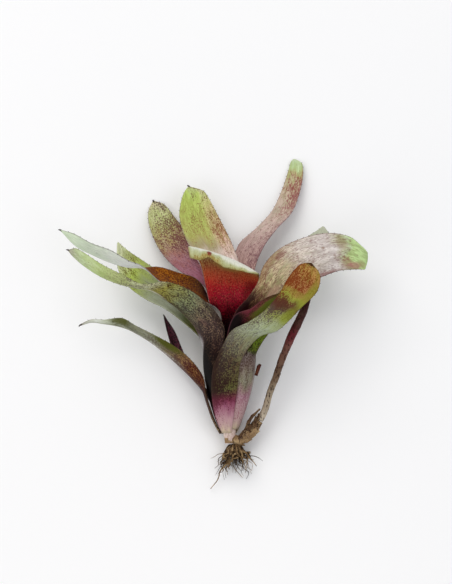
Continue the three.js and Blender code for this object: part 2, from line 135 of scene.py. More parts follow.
# %% Routes of the leaves to both sides
LEAVES.update({
    "leaf_right_arching": dict(
        layer=3, azimuth=(38, 38), wrap=(73, 62), throat=60, spines=True, tip=(82.5, 109.2, 2),
        blade=[
            (4, 79, 11.5, 18, 72, -2, 3), (11, 87, 11, 25, 81, 0, 3), (17, 96, 9.5, 32, 88, 1.5, 2.5),
            (20.5, 106, 8, 39, 93, 4, 2), (29, 115.5, 6.5, 48, 97, 6, 2),
            (43, 122.5, 5, 56, 99.5, 8, 2), (60, 126, 3.5, 66, 103, 9.5, 2),
            (73, 123.6, 1.5, 76.5, 104, 8, 1.5), (78.8, 119, 0.4, 79.6, 104, 6.6, 1.2),
            (83.4, 113.9, -0.6, 81.8, 104, 5, 1)]),
    "leaf_back_right": dict(
        layer=2, azimuth=(310, 318), wrap=(44, 38), throat=54, spines=True, tip=(57.2, 130.2, -22),
        blade=[
            (17, 65, -5, 4, 68, -17.5, 2), (25, 76.5, -9, 14, 84, -20, 2),
            (37, 89, -11, 26, 99, -22, 2), (49, 103, -13, 36, 113.5, -23, 1.5),
            (57.5, 115, -16, 45.5, 122.6, -23, 1), (60.6, 125, -18.5, 53.5, 127.8, -22.5, 0.5)]),
    "leaf_left_broad": dict(
        layer=3, azimuth=(190, 190), wrap=(63, 50), throat=52, spines=True, tip=(-68, 120.3, -14),
        blade=[
            (-11, 68, -13, -18, 62.5, -0.5, 2.5), (-20, 87, -13, -27, 71, -1, 2.5),
            (-32, 97, -13, -39, 80, -3, 2), (-45, 104.5, -13, -51, 86, -5, 2),
            (-55, 111, -13.5, -62, 94.5, -7, 1.5), (-61.5, 115.4, -14, -67.8, 105, -10, 1)]),
    "leaf_long_left": dict(
        layer=4, azimuth=(160, 158), wrap=(60, 46), throat=66, spines=True, tip=(-102, 127.5, -3),
        blade=[
            (-14, 89.5, -10, -6, 78.5, 12, 3), (-20.5, 98.5, -7, -16, 85, 11, 2),
            (-31, 102, -4, -29, 91, 11, 1.5), (-43, 105.5, -2.5, -42, 96.5, 9.5, 1),
            (-52.5, 105, -2, -53, 106, 6.5, 0.6), (-62, 105.2, -1.5, -61, 109, 6.5, 0.6),
            (-72, 108, -1.5, -72, 115.5, 5, 0.8), (-83, 112.8, -2, -84, 120, 3.5, 0.8),
            (-93, 118, -3, -94, 125.5, 1, 0.6)]),
})
print("routes so far:", len(LEAVES))

# %% Routes of the upright leaves and the red one in the heart
LEAVES.update({
    "leaf_top_right": dict(
        layer=4, azimuth=(325, 322), wrap=(58, 36), throat=68, spines=True,
        tip=(39.8, 171.6, ground_z(171.6)),
        blade=[
            (17, 88, -7, 3, 91, -17, 2), (15, 103, -14, 2, 106, -22, 2),
            (20, 116.5, -20, 5.5, 119, -27, 2), (28.5, 128.5, -27, 16, 129, -33, 2),
            (38, 139, -34, 26, 140, -39, 1.5), (43, 151.5, -41.5, 32.5, 154, -46, 1.5),
            (45, 163, -47.5, 36, 164.5, -50.5, 1), (44.2, 169.4, -50.9, 37.8, 170.4, -52.6, 0.8)]),
    "leaf_top_left": dict(
        layer=5, azimuth=(243, 246), wrap=(60, 34), throat=70, spines=True,
        tip=(-46.5, 145.8, ground_z(145.8)),
        blade=[
            (2, 86, -15, -11, 87, -13, 2), (-4, 100, -19, -17.5, 96, -15, 2),
            (-13, 113, -25, -30, 103, -19, 2), (-25, 126, -33, -42, 115, -27, 2),
            (-33.5, 136, -39, -49, 131, -37, 1.5), (-40, 144, -44, -49.5, 140, -43, 1)]),
    "leaf_top_middle": dict(
        layer=6, azimuth=(285, 278), wrap=(66, 48), throat=72, spines=True, tip=(-24.6, 154.6, -37),
        blade=[
            (10, 94, -10, -11, 94, -7.5, 3), (6, 108, -15, -19, 109, -14, 2.5),
            (1, 121, -21, -27, 124, -20, 2.5), (-7, 137, -28, -30.5, 137, -27, 2),
            (-12.6, 147.5, -33.3, -29, 147.5, -32.5, 1), (-15.8, 152, -35.5, -27.2, 152, -35, 0.8)]),
    "leaf_centre_red": dict(
        layer=7, azimuth=(262, 268), wrap=(80, 70), throat=74, spines=False, tip=None,
        blade=[
            (12, 83, -1, -12, 83, -1, 7), (16.6, 92.5, -1, -14.6, 94, -0.5, 6.5),
            (17.9, 98.4, 1, -18, 108, 1, 5), (18, 101, 3.5, -24.6, 117.5, 4, 3),
            (17.7, 100.6, 6, -25, 117, 7.6, 1), (17.2, 99, 6.8, -24, 111, 9.4, 0.5)]),
})
print("routes so far:", len(LEAVES))

# %% Routes of the back leaf and the two low ones
LEAVES.update({
    "leaf_back": dict(
        layer=1, azimuth=(275, 275), wrap=(58, 42), throat=44, spines=True, tip=(1, 101, -33),
        blade=[
            (11, 54, -18.5, -10, 54, -18.5, 2), (12, 67, -22.5, -10.5, 67, -22.5, 2),
            (11.5, 80, -26.5, -9.5, 80, -26.5, 2), (8, 92, -30, -6, 92, -30, 1)]),
    "leaf_side_low": dict(
        layer=0, azimuth=(184, 180), wrap=(26, 22), throat=29, spines=True, tip=(-90, 70.5, -6.5),
        blade=[
            (-21, 36, -5, -15.8, 38.6, 4.5, 2), (-28, 43, -4.5, -24, 50, 4, 2),
            (-35.5, 50, -4, -34, 58, 4, 2), (-46, 58.5, -4, -45, 64, 3.5, 1.5),
            (-57, 65.5, -4, -57, 70, 1.5, 1.5), (-66, 69, -4, -65, 74.5, -1, 1),
            (-76, 71, -5, -76, 73.5, -2.5, 0.6), (-84, 72, -6, -84, 73.6, -4.5, 0.4)]),
    "leaf_side_spike": dict(
        layer=0, azimuth=(228, 222), wrap=(12, 10), throat=24, spines=False, tip=(-39.3, 75, -11),
        blade=[
            (-17.5, 36, -14, -20, 35, -9.5, 0.8), (-25, 48, -14, -27.5, 47, -9.5, 1),
            (-29.5, 57.5, -13.5, -34.5, 56, -10, 1.5), (-33, 66, -12.5, -37.5, 65, -10, 1.2)]),
})
print("leaves:", len(LEAVES))

# %% [markdown]
# ## From routes to surfaces
#
# Between its stations a leaf bends smoothly, so the margins and the midrib each follow a spline that
# passes through every station. The spline is the centripetal kind, which never loops where stations
# come close together, as they do at a rolled tip. The sheath needs no spline: its radius is a formula.

# %% Sheath arcs
SHEATH_STEP = 2.0
PROFILE_BLEND = 2.5
LOWEST_FOOT = 4.5
FOOT_STEP = 0.1


def profile_radius(y):
    """Radius of the sheath bundle at a height, straight between the stations of its profile."""
    last = len(SHEATH_PROFILE) - 1
    i = 1
    while i < last and SHEATH_PROFILE[i][0] < y:
        i += 1
    (y0, r0), (y1, r1) = SHEATH_PROFILE[i - 1], SHEATH_PROFILE[i]
    return r0 + (r1 - r0) * (y - y0) / (y1 - y0)


def layer_radius(layer, y):
    """Radius of the middle of one sheath layer, with the corners of the profile blended away."""
    near = profile_radius(y - PROFILE_BLEND) + 2 * profile_radius(y) + profile_radius(y + PROFILE_BLEND)
    return near / 4 - LEAF_THICKNESS / 2 - (layer - 1) * LAYER_PITCH


def sheath_foot(layer):
    """The lowest height at which a layer still clears the stem."""
    y = LOWEST_FOOT
    while layer_radius(layer, y) < STEM_RADIUS + SEAT_GAP + LEAF_THICKNESS / 2:
        y += FOOT_STEP
    return y


def sheath_arc(leaf, y, foot):
    """Left margin, midrib and right margin of a sheath at one height."""
    s = (y - foot) / (leaf["throat"] - foot)
    azimuth, wrap = (a + (b - a) * s for a, b in (leaf["azimuth"], leaf["wrap"]))
    radius = layer_radius(leaf["layer"], y)
    turns = [math.radians(azimuth + side * wrap) for side in (1, 0, -1)]
    return [Vector((radius * math.cos(t), y, radius * math.sin(t))) for t in turns]


print("lowest sheath foot in mm:", round(min(sheath_foot(leaf["layer"]) for leaf in LEAVES.values()), 1))

# %% Blade arcs
TIP_HALF_WIDTH = 0.5
TIP_CHANNEL = 0.05


def blade_arcs(leaf, throat_arc):
    """The stations of a blade as left margin, midrib and right margin, with its tip as the last."""
    rows = [(Vector(s[0:3]), Vector(s[3:6]), s[6]) for s in leaf["blade"]]
    if leaf["tip"]:
        tip = Vector(leaf["tip"])
        across = (rows[-1][0] - rows[-1][1]).normalized() * TIP_HALF_WIDTH
        rows.append((tip + across, tip - across, TIP_CHANNEL))
    middles = [throat_arc[1]] + [(left + right) / 2 for left, right, _ in rows]
    arcs = []
    for i, (left, right, channel) in enumerate(rows):
        along = middles[min(i + 2, len(middles) - 1)] - middles[i]
        outward = along.cross(left - right).normalized()
        arcs.append([left, middles[i + 1] + outward * channel, right])
    return arcs


print("stations of all blades:", sum(len(leaf["blade"]) for leaf in LEAVES.values()))

# %% The spline between stations
SHORTEST = 1e-6


def spline_point(points, i, t):
    """Point at t between points i and i + 1 of a centripetal Catmull-Rom spline."""
    p1, p2 = points[i], points[i + 1]
    p0 = points[i - 1] if i > 0 else 2 * p1 - p2
    p3 = points[i + 2] if i + 2 < len(points) else 2 * p2 - p1
    d1 = max((p2 - p1).length, SHORTEST) ** 0.5
    d0 = (p1 - p0).length ** 0.5 or d1
    d2 = (p3 - p2).length ** 0.5 or d1
    m1 = ((p1 - p0) / d0 - (p2 - p0) / (d0 + d1) + (p2 - p1) / d1) * d1
    m2 = ((p2 - p1) / d1 - (p3 - p1) / (d1 + d2) + (p3 - p2) / d2) * d1
    return p1 + m1 * t + (3 * (p2 - p1) - 2 * m1 - m2) * t ** 2 + (2 * (p1 - p2) + m1 + m2) * t ** 3


print("half way over a corner:", [round(c, 2) for c in spline_point([
    Vector((0, 0, 0)), Vector((1, 0, 0)), Vector((1, 1, 0))], 0, 0.5)])

# %% Every arc of a leaf, and points across it
BLADE_STEP = 1.5
KNOT_STEP = 6.0
KNOT_MARGIN = 2
FLATTEST_BEND = 0.02


def leaf_arcs(leaf):
    """All arcs of a leaf from foot to tip, and how many of them are sheath."""
    throat, foot = leaf["throat"], sheath_foot(leaf["layer"])
    count = math.ceil((throat - foot) / SHEATH_STEP)
    arcs = [sheath_arc(leaf, foot + (throat - foot) * i / count, foot) for i in range(count + 1)]
    below = sheath_arc(leaf, KNOT_STEP * math.ceil((throat - KNOT_MARGIN) / KNOT_STEP - 1), foot)
    knots = [below, arcs[-1]] + blade_arcs(leaf, arcs[-1])
    for i in range(1, len(knots) - 1):
        cuts = max(2, round((knots[i + 1][1] - knots[i][1]).length / BLADE_STEP))
        for j in range(1, cuts + 1):
            arcs.append([spline_point([knot[k] for knot in knots], i, j / cuts) for k in range(3)])
    return arcs, count + 1


def arc_point(arc, v):
    """Point across an arc, v from -1 at the right margin to 1 at the left one."""
    left, midrib, right = arc
    half, middle = (left - right) / 2, (left + right) / 2
    rise = midrib - middle
    bend = max(2 * math.atan(rise.length / half.length), FLATTEST_BEND)
    lift = (math.cos(v * bend) - math.cos(bend)) / (1 - math.cos(bend))
    return middle + half * (math.sin(v * bend) / math.sin(bend)) + rise * lift


ROUTES = {name: leaf_arcs(leaf) for name, leaf in LEAVES.items()}
print("arcs in the longest leaf:", max(len(arcs) for arcs, _ in ROUTES.values()))

# %% Find the shift that lays the plant in the frame
REFERENCE = "leaf_centre_red"
HALF_SAMPLES = 8


def reference_shift():
    """Lays the middle of the rebuilt leaf's box over the middle of its box in the frame."""
    places = [v / HALF_SAMPLES for v in range(-HALF_SAMPLES, HALF_SAMPLES + 1)]
    spots = [TURN @ arc_point(arc, v) for arc in ROUTES[REFERENCE][0] for v in places]
    low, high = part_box(REFERENCE)
    shift = Vector((0, 0, 0))
    for k in range(3):
        rebuilt = (min(p[k] for p in spots) + max(p[k] for p in spots)) / 2
        shift[k] = (low[k] + high[k]) / 2 / MM - rebuilt
    shift.z = -(TURN @ Vector((0, *CROWN_REST))).z
    return shift


SHIFT = reference_shift()
TO_WORLD = Matrix.Scale(MM, 4) @ Matrix.Translation(SHIFT) @ TURN
TO_PLANT = TO_WORLD.inverted()
print("shift in mm:", [round(c, 2) for c in SHIFT])

# %% [markdown]
# ## Two helpers for meshes
#
# Every piece ends as one object at the origin, with its place in its mesh. The first helper hands the
# mesh over, fills its material slots, sets it on the root body and hides the node of the frame that it
# replaces. The second makes every round limb of the plant. A skin round a
# curve would be perfectly even, so a disc is extruded along the path instead, one ring at a time, and
# each ring is roughened a little on its own.

# %% Hand a finished piece over
def add_piece(name, bm, materials, node):
    """Makes the object of a mesh, with its materials, sets it on the root body and hides the node it
    replaces.
    """
    mesh = bpy.data.meshes.new(name)
    bm.to_mesh(mesh)
    bm.free()
    for material in materials:
        mesh.materials.append(material)
    mesh.shade_smooth()
    piece = bpy.data.objects.new(name, mesh)
    bpy.context.scene.collection.objects.link(piece)
    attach(piece, "root")
    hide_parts(node)
    print(name, "has", len(mesh.polygons), "faces")
    return piece


# %% Sweep a round limb along a path
SHORTEST_RING = 0.5
LUMP_AROUND, LUMP_ALONG, LUMP_SHIFT = 1.3, 0.55, 0.7


def limb_rings(path, radii):
    """Centres and radii of the rings of a limb, about one radius apart."""
    points = [Vector(p) for p in path]
    spots, sizes = [], []
    for i in range(len(points) - 1):
        length = (points[i + 1] - points[i]).length
        cuts = max(1, round(length / max(radii[i], SHORTEST_RING)))
        for j in range(cuts):
            spots.append(spline_point(points, i, j / cuts))
            sizes.append(radii[i] + (radii[i + 1] - radii[i]) * j / cuts)
    return spots + [points[-1]], sizes + [radii[-1]]


def sweep(bm, path, radii, sides, material=0, rough=0.0, seed=0):
    """Extrudes a round limb along a path in the plant's frame, both in millimetres."""
    spots, sizes = limb_rings(path, radii)
    ring = bmesh.ops.create_circle(bm, segments=sides, radius=1, cap_ends=True)["verts"]
    tip = list({f for v in ring for f in v.link_faces})
    facing = Vector((0, 0, 1)).rotation_difference(spots[1] - spots[0])
    for v in ring:
        angle = math.atan2(v.co.y, v.co.x)
        flat = Vector((math.cos(angle), math.sin(angle), 0)) * sizes[0]
        v.co = TO_WORLD @ (spots[0] + facing @ flat)
    for i in range(1, len(spots)):
        grown = bmesh.ops.extrude_face_region(bm, geom=tip)["geom"]
        tip = [g for g in grown if isinstance(g, bmesh.types.BMFace)]
        ahead = spots[min(i + 1, len(spots) - 1)] - spots[i - 1]
        back = facing.inverted()
        bend = (facing @ Vector((0, 0, 1))).rotation_difference(ahead)
        facing = bend @ facing
        for v in (g for g in grown if isinstance(g, bmesh.types.BMVert)):
            local = back @ (TO_PLANT @ v.co - spots[i - 1])
            angle = math.atan2(local.y, local.x)
            lump = noise.noise(Vector((angle * LUMP_AROUND + seed, i * LUMP_ALONG, seed * LUMP_SHIFT)))
            flat = Vector((math.cos(angle), math.sin(angle), 0)) * sizes[i] * (1 + rough * lump)
            v.co = TO_WORLD @ (spots[i] + facing @ flat)
    limb, waiting = set(), [tip[0]]
    while waiting:
        face = waiting.pop()
        if face not in limb:
            limb.add(face)
            face.material_index = material
            waiting.extend(f for e in face.edges for f in e.link_faces)


print("rings of a twig of 10 mm:", len(limb_rings([(0, 0, 0), (0, 10, 0)], [1.0, 1.0])[0]))

# %% [markdown]
# ## Colours and shader nodes
#
# Colours are written as sRGB hex, as a picker shows them, and turned to the linear values that the
# renderer counts in. One helper adds any shader node: it sets the node's options, then fills or links
# its inputs, and fills the stops of a colour ramp. Another node given as an input is linked.

# %% Colour and node helpers
def linear(hex_colour):
    """An sRGB hex colour as linear red, green, blue and alpha."""
    channels = [int(hex_colour[i:i + 2], 16) / 255 for i in (1, 3, 5)]
    return tuple(c / 12.92 if c <= 0.04045 else ((c + 0.055) / 1.055) ** 2.4 for c in channels) + (1.0,)


def add(tree, kind, inputs=None, stops=(), **settings):
    """Adds a shader node with its options, its inputs by name or number, and the stops of a ramp."""
    node = tree.nodes.new("ShaderNode" + kind)
    for key, value in settings.items():
        setattr(node, key, value)
    live = [socket for socket in node.inputs if socket.enabled]
    for key, value in (inputs or {}).items():
        socket = live[key] if isinstance(key, int) else next(s for s in live if s.name == key)
        if isinstance(value, bpy.types.Node):
            value = next(s for s in value.outputs if s.enabled)
        if isinstance(value, bpy.types.NodeSocket):
            tree.links.new(value, socket)
        else:
            socket.default_value = value
    for i, (place, value) in enumerate(stops):
        elements = node.color_ramp.elements
        element = elements[i] if i < 2 else elements.new(place)
        element.position = place
        element.color = linear(value) if isinstance(value, str) else (value, value, value, 1)
    return node


def new_material(name):
    """An empty material and its node tree."""
    material = bpy.data.materials.new(name)
    material.use_nodes = True
    tree = material.node_tree
    tree.nodes.clear()
    return material, tree


print("linear value of a middle grey:", round(linear("#808080")[0], 3))

# %% [markdown]
# ## Leaf skin
#
# A bromeliad leaf is living skin under a waxy cuticle, so it is a plain dielectric with an IOR near
# 1.45. Its colour is built in layers, from the flesh outwards. The flesh goes through zones of green,
# yellow, red or pink from foot to tip, and on some leaves one half of the blade has other zones, or
# streaks of a second hue are washed over it. In the flesh lie grains of maroon pigment, dense in some
# zones and thin in others, and a few leaves have pale flecks too. The outer side wears a bloom of
# grey scales in fine lines, which dulls it. Single blotches, a dark margin and low parallel veins come
# last. Some zones, grains and ovals are painted light: near black low in the heart they are painted
# shade, and a few pale ones are painted highlight and painted light. One painted image would have to
# be made for every leaf. Patterns that read the leaf's own map
# in millimetres need none, and their grain is as large on a short leaf as on a long one.

# %% What the skin of a leaf can have
THROAT_SHARE = 0.4  # a share is 0 at the foot of a leaf, this at its throat and 1 at its tip
PLAIN_LOOK = dict(
    half=None,  # other zones on one half, and where across the leaf they begin and are full
    tinge=(), tinge_cover=0.6,  # streaks of a second hue, and how much of it shows
    skew=0.0, wobble=0.022,  # how the zones slant across the leaf, and how far their edges stray
    grain_mm=(1.1, 0.75), grain_edge=0.07,  # length, width and softness of a grain of pigment
    lean=0.0,  # how much denser the pigment is towards the left margin
    flecks=None,  # pale flecks between the grains
    dust="#b9bcae",  # colour of the bloom
    blotches_and_painted_light=(),  # blotches, painted shade and painted light among them: share, place across, half length, half width, colour, strength
    rim="#5a3a34", rim_width=0.05, rim_cover=0.3,  # the darker line along the margins
    roughness=0.46)  # of the cuticle where no bloom lies on it
PATTERNS = {  # length and width in mm, how far a seed shifts it, detail, roughness
    "blotch": ((15.0, 6.5), (1.0, 1.3), 2.0, 0.5),
    "tinge": ((8.0, 2.2), (0.4, 1.9), 3.0, 0.6),
    "grain": (PLAIN_LOOK["grain_mm"], (1.7, 1.0), 4.0, 0.68),
    "mottle": ((5.0, 3.0), (0.7, 2.1), 2.0, 0.5),
    "fleck": ((0.9, 0.8), (2.3, 0.6), 3.0, 0.7),
    "scurf": ((5.0, 0.5), (1.0, 1.0), 3.0, 0.6),
    "vein": ((40.0, 0.9), (0.0, 0.0), 1.0, 0.5),
}
NOISE_LOW, NOISE_HIGH = 0.3, 0.7  # nearly all values of a noise lie between these
print("patterns of a leaf:", ", ".join(PATTERNS))


# %% Places and patterns that every layer reads
def leaf_maps(tree, look, seed):
    """The place along and across the leaf, and its patterns, with zones that stray a little."""
    flesh = add(tree, "UVMap", uv_map="flesh_mm")
    axes = add(tree, "SeparateXYZ", {"Vector": add(tree, "UVMap", uv_map="leaf")}).outputs
    maps = {"share": axes["X"]}
    maps["across"] = add(tree, "MapRange", {"Value": axes["Y"], "To Min": -1.0, "To Max": 1.0})
    for name, (size, shift, detail, roughness) in PATTERNS.items():
        if (name == "tinge" and not look["tinge"]) or (name == "fleck" and not look["flecks"]):
            continue
        length, width = look["grain_mm"] if name == "grain" else size
        spot = add(tree, "Mapping", {
            "Vector": flesh, "Location": (seed * shift[0], seed * shift[1], 0),
            "Scale": (1 / length, 1 / width, 1)})
        maps[name] = add(tree, "TexNoise", {
            "Vector": spot, "Scale": 1.0, "Detail": detail, "Roughness": roughness})
    maps["drift"] = add(tree, "MapRange", {
        "Value": maps["blotch"], "From Min": NOISE_LOW, "From Max": NOISE_HIGH,
        "To Min": -look["wobble"], "To Max": look["wobble"]})
    lie = add(tree, "Math", {
        0: maps["across"], 1: look["skew"], 2: maps["drift"]}, operation="MULTIPLY_ADD")
    maps["along"] = add(tree, "Math", {0: axes["X"], 1: lie}, operation="ADD")
    return maps


print("length and width of a blotch in mm:", PATTERNS["blotch"][0])

# %% Zones of the flesh
DRIFT_GAIN = 5.0  # the half and the pigment stray this much more than the zones do
WASH_FROM, WASH_FULL = 0.42, 0.6


def paint_zones(tree, maps, look):
    """The living flesh: its zones, the other half, and a wash of a second hue. On a few leaves dark zones
    low down are painted shade, and pale ones partly a painted highlight.
    """
    colour = add(tree, "ValToRGB", {"Fac": maps["along"]}, stops=look["ground"])
    if look["half"]:
        begin, full = look["half"]["at"]
        wander = add(tree, "Math", {
            0: maps["drift"], 1: DRIFT_GAIN, 2: maps["across"]}, operation="MULTIPLY_ADD")
        side = add(tree, "MapRange", {
            "Value": wander, "From Min": begin, "From Max": full}, interpolation_type="SMOOTHSTEP")
        other = add(tree, "ValToRGB", {"Fac": maps["along"]}, stops=look["half"]["ground"])
        colour = add(tree, "Mix", {"Factor": side, "A": colour, "B": other}, data_type="RGBA")
    if look["tinge"]:
        wash = add(tree, "MapRange", {
            "Value": maps["tinge"], "From Min": WASH_FROM, "From Max": WASH_FULL,
            "To Max": look["tinge_cover"]}, interpolation_type="SMOOTHSTEP")
        hue = add(tree, "ValToRGB", {"Fac": maps["along"]}, stops=look["tinge"])
        colour = add(tree, "Mix", {"Factor": wash, "A": colour, "B": hue}, data_type="RGBA")
    return colour


print("zones stray by up to this share of a leaf:", PLAIN_LOOK["wobble"])

# %% Grains of pigment and pale flecks
CLOUD_DEPTH = 0.14
COVER_WEIGHT = 0.4
GRAIN_LEVEL = 0.7
FLECK_FROM, FLECK_FULL = 0.54, 0.62


def paint_pigment(tree, maps, look, colour):
    """Grains where noise and cover together pass a level. The grains are given back as a mask too."""
    crowd = add(tree, "ValToRGB", {"Fac": maps["along"]}, stops=look["cover"])
    for source, gain in ((maps["across"], look["lean"]), (maps["drift"], DRIFT_GAIN)):
        crowd = add(tree, "Math", {0: source, 1: gain, 2: crowd}, operation="MULTIPLY_ADD")
    cloud = add(tree, "MapRange", {
        "Value": maps["mottle"], "From Min": NOISE_LOW, "From Max": NOISE_HIGH,
        "To Min": -CLOUD_DEPTH, "To Max": CLOUD_DEPTH})
    crowd = add(tree, "Math", {0: crowd, 1: cloud}, operation="ADD")
    level = add(tree, "Math", {0: crowd, 1: COVER_WEIGHT, 2: maps["grain"]}, operation="MULTIPLY_ADD")
    grains = add(tree, "MapRange", {
        "Value": level, "From Min": GRAIN_LEVEL - look["grain_edge"],
        "From Max": GRAIN_LEVEL + look["grain_edge"]}, interpolation_type="SMOOTHSTEP")
    maroon = add(tree, "ValToRGB", {"Fac": maps["along"]}, stops=look["pigment"])
    return add(tree, "Mix", {"Factor": grains, "A": colour, "B": maroon}, data_type="RGBA"), grains


def paint_flecks(tree, maps, flecks, colour):
    """Small pale specks, as on the two leaves with the warmest colours."""
    there = add(tree, "ValToRGB", {"Fac": maps["along"]}, stops=flecks["cover"])
    glint = add(tree, "MapRange", {"Value": maps["fleck"], "From Min": FLECK_FROM, "From Max": FLECK_FULL})
    glint = add(tree, "Math", {0: glint, 1: there}, operation="MULTIPLY")
    return add(tree, "Mix", {
        "Factor": glint, "A": colour, "B": linear(flecks["colour"])}, data_type="RGBA")


print("grains of pigment show above a level of", GRAIN_LEVEL)

# %% Bloom, blotches with painted shade and light, and margin
BLOOM_LOW, BLOOM_HIGH = 0.45, 1.35
TONE_LOW, TONE_HIGH = 0.86, 1.12
BLOTCH_RAGGED = -1.1
BLOTCH_SOFT = 0.75


def paint_bloom(tree, maps, look, colour):
    """Grey scales in fine lengthwise lines. Their density is given back, because it dulls the skin."""
    lines = add(tree, "MapRange", {
        "Value": maps["scurf"], "From Min": NOISE_LOW, "From Max": NOISE_HIGH,
        "To Min": BLOOM_LOW, "To Max": BLOOM_HIGH})
    powder = add(tree, "ValToRGB", {"Fac": maps["along"]}, stops=look["bloom"])
    powder = add(tree, "Math", {0: powder, 1: lines}, operation="MULTIPLY", use_clamp=True)
    return add(tree, "Mix", {
        "Factor": powder, "A": colour, "B": linear(look["dust"])}, data_type="RGBA"), powder


def paint_blotches_and_painted_light(tree, maps, look, colour):
    """Single soft ovals whose edges are broken up by the grain: blotches, and on a few leaves painted shade
    and painted light.
    """
    for share, middle, length, width, hue, strength in look["blotches_and_painted_light"]:
        spot = add(tree, "Mapping", {
            "Vector": add(tree, "CombineXYZ", {"X": maps["share"], "Y": maps["across"]}),
            "Location": (-share / length, -middle / width, 0), "Scale": (1 / length, 1 / width, 1)})
        reach = add(tree, "VectorMath", {0: spot}, operation="LENGTH").outputs["Value"]
        ragged = add(tree, "Math", {0: maps["grain"], 1: BLOTCH_RAGGED, 2: reach}, operation="MULTIPLY_ADD")
        mask = add(tree, "MapRange", {
            "Value": ragged, "From Min": 0.0, "From Max": BLOTCH_SOFT,
            "To Min": strength, "To Max": 0.0}, interpolation_type="SMOOTHSTEP")
        colour = add(tree, "Mix", {"Factor": mask, "A": colour, "B": linear(hue)}, data_type="RGBA")
    return colour


def paint_margin(tree, maps, look, colour):
    """Light and dark fine lines all over, then the darker line along both margins."""
    tone = add(tree, "MapRange", {
        "Value": maps["scurf"], "From Min": NOISE_LOW, "From Max": NOISE_HIGH,
        "To Min": TONE_LOW, "To Max": TONE_HIGH})
    colour = add(tree, "Mix", {
        "Factor": 1.0, "A": colour, "B": tone}, data_type="RGBA", blend_type="MULTIPLY")
    edge = add(tree, "Math", {0: maps["across"]}, operation="ABSOLUTE")
    line = add(tree, "MapRange", {
        "Value": edge, "From Min": 1 - look["rim_width"], "From Max": 1 - look["rim_width"] / 3,
        "To Max": look["rim_cover"]})
    return add(tree, "Mix", {"Factor": line, "A": colour, "B": linear(look["rim"])}, data_type="RGBA")


print("the bloom is thinned and thickened by", BLOOM_LOW, "to", BLOOM_HIGH)

# %% The whole skin of one side of a leaf
PLANT_IOR = 1.45
SKIN_SHINE = 0.08
VEIN_HEIGHT = 0.00014
VEIN_STRENGTH = 0.5
GRAIN_RELIEF = 0.08
BLOOM_DULLS = 0.3


def leaf_skin(name, seed, look):
    """Waxy leaf skin: satin where it is bare, chalky and matt where the bloom lies on it."""
    look = {**PLAIN_LOOK, **look}
    material, tree = new_material(name)
    maps = leaf_maps(tree, look, seed)
    colour = paint_zones(tree, maps, look)
    colour, grains = paint_pigment(tree, maps, look, colour)
    if look["flecks"]:
        colour = paint_flecks(tree, maps, look["flecks"], colour)
    colour, powder = paint_bloom(tree, maps, look, colour)
    colour = paint_blotches_and_painted_light(tree, maps, look, colour)
    colour = paint_margin(tree, maps, look, colour)
    relief = add(tree, "Math", {0: grains, 1: GRAIN_RELIEF, 2: maps["vein"]}, operation="MULTIPLY_ADD")
    bump = add(tree, "Bump", {"Height": relief, "Strength": VEIN_STRENGTH, "Distance": VEIN_HEIGHT})
    dull = add(tree, "Math", {0: powder, 1: BLOOM_DULLS, 2: look["roughness"]}, operation="MULTIPLY_ADD")
    skin = add(tree, "BsdfPrincipled", {
        "Base Color": colour, "Roughness": dull, "IOR": PLANT_IOR, "Specular IOR Level": SKIN_SHINE,
        "Normal": bump})
    add(tree, "OutputMaterial", {"Surface": skin})
    return material


print("height of a vein in mm:", round(VEIN_HEIGHT / MM, 2))
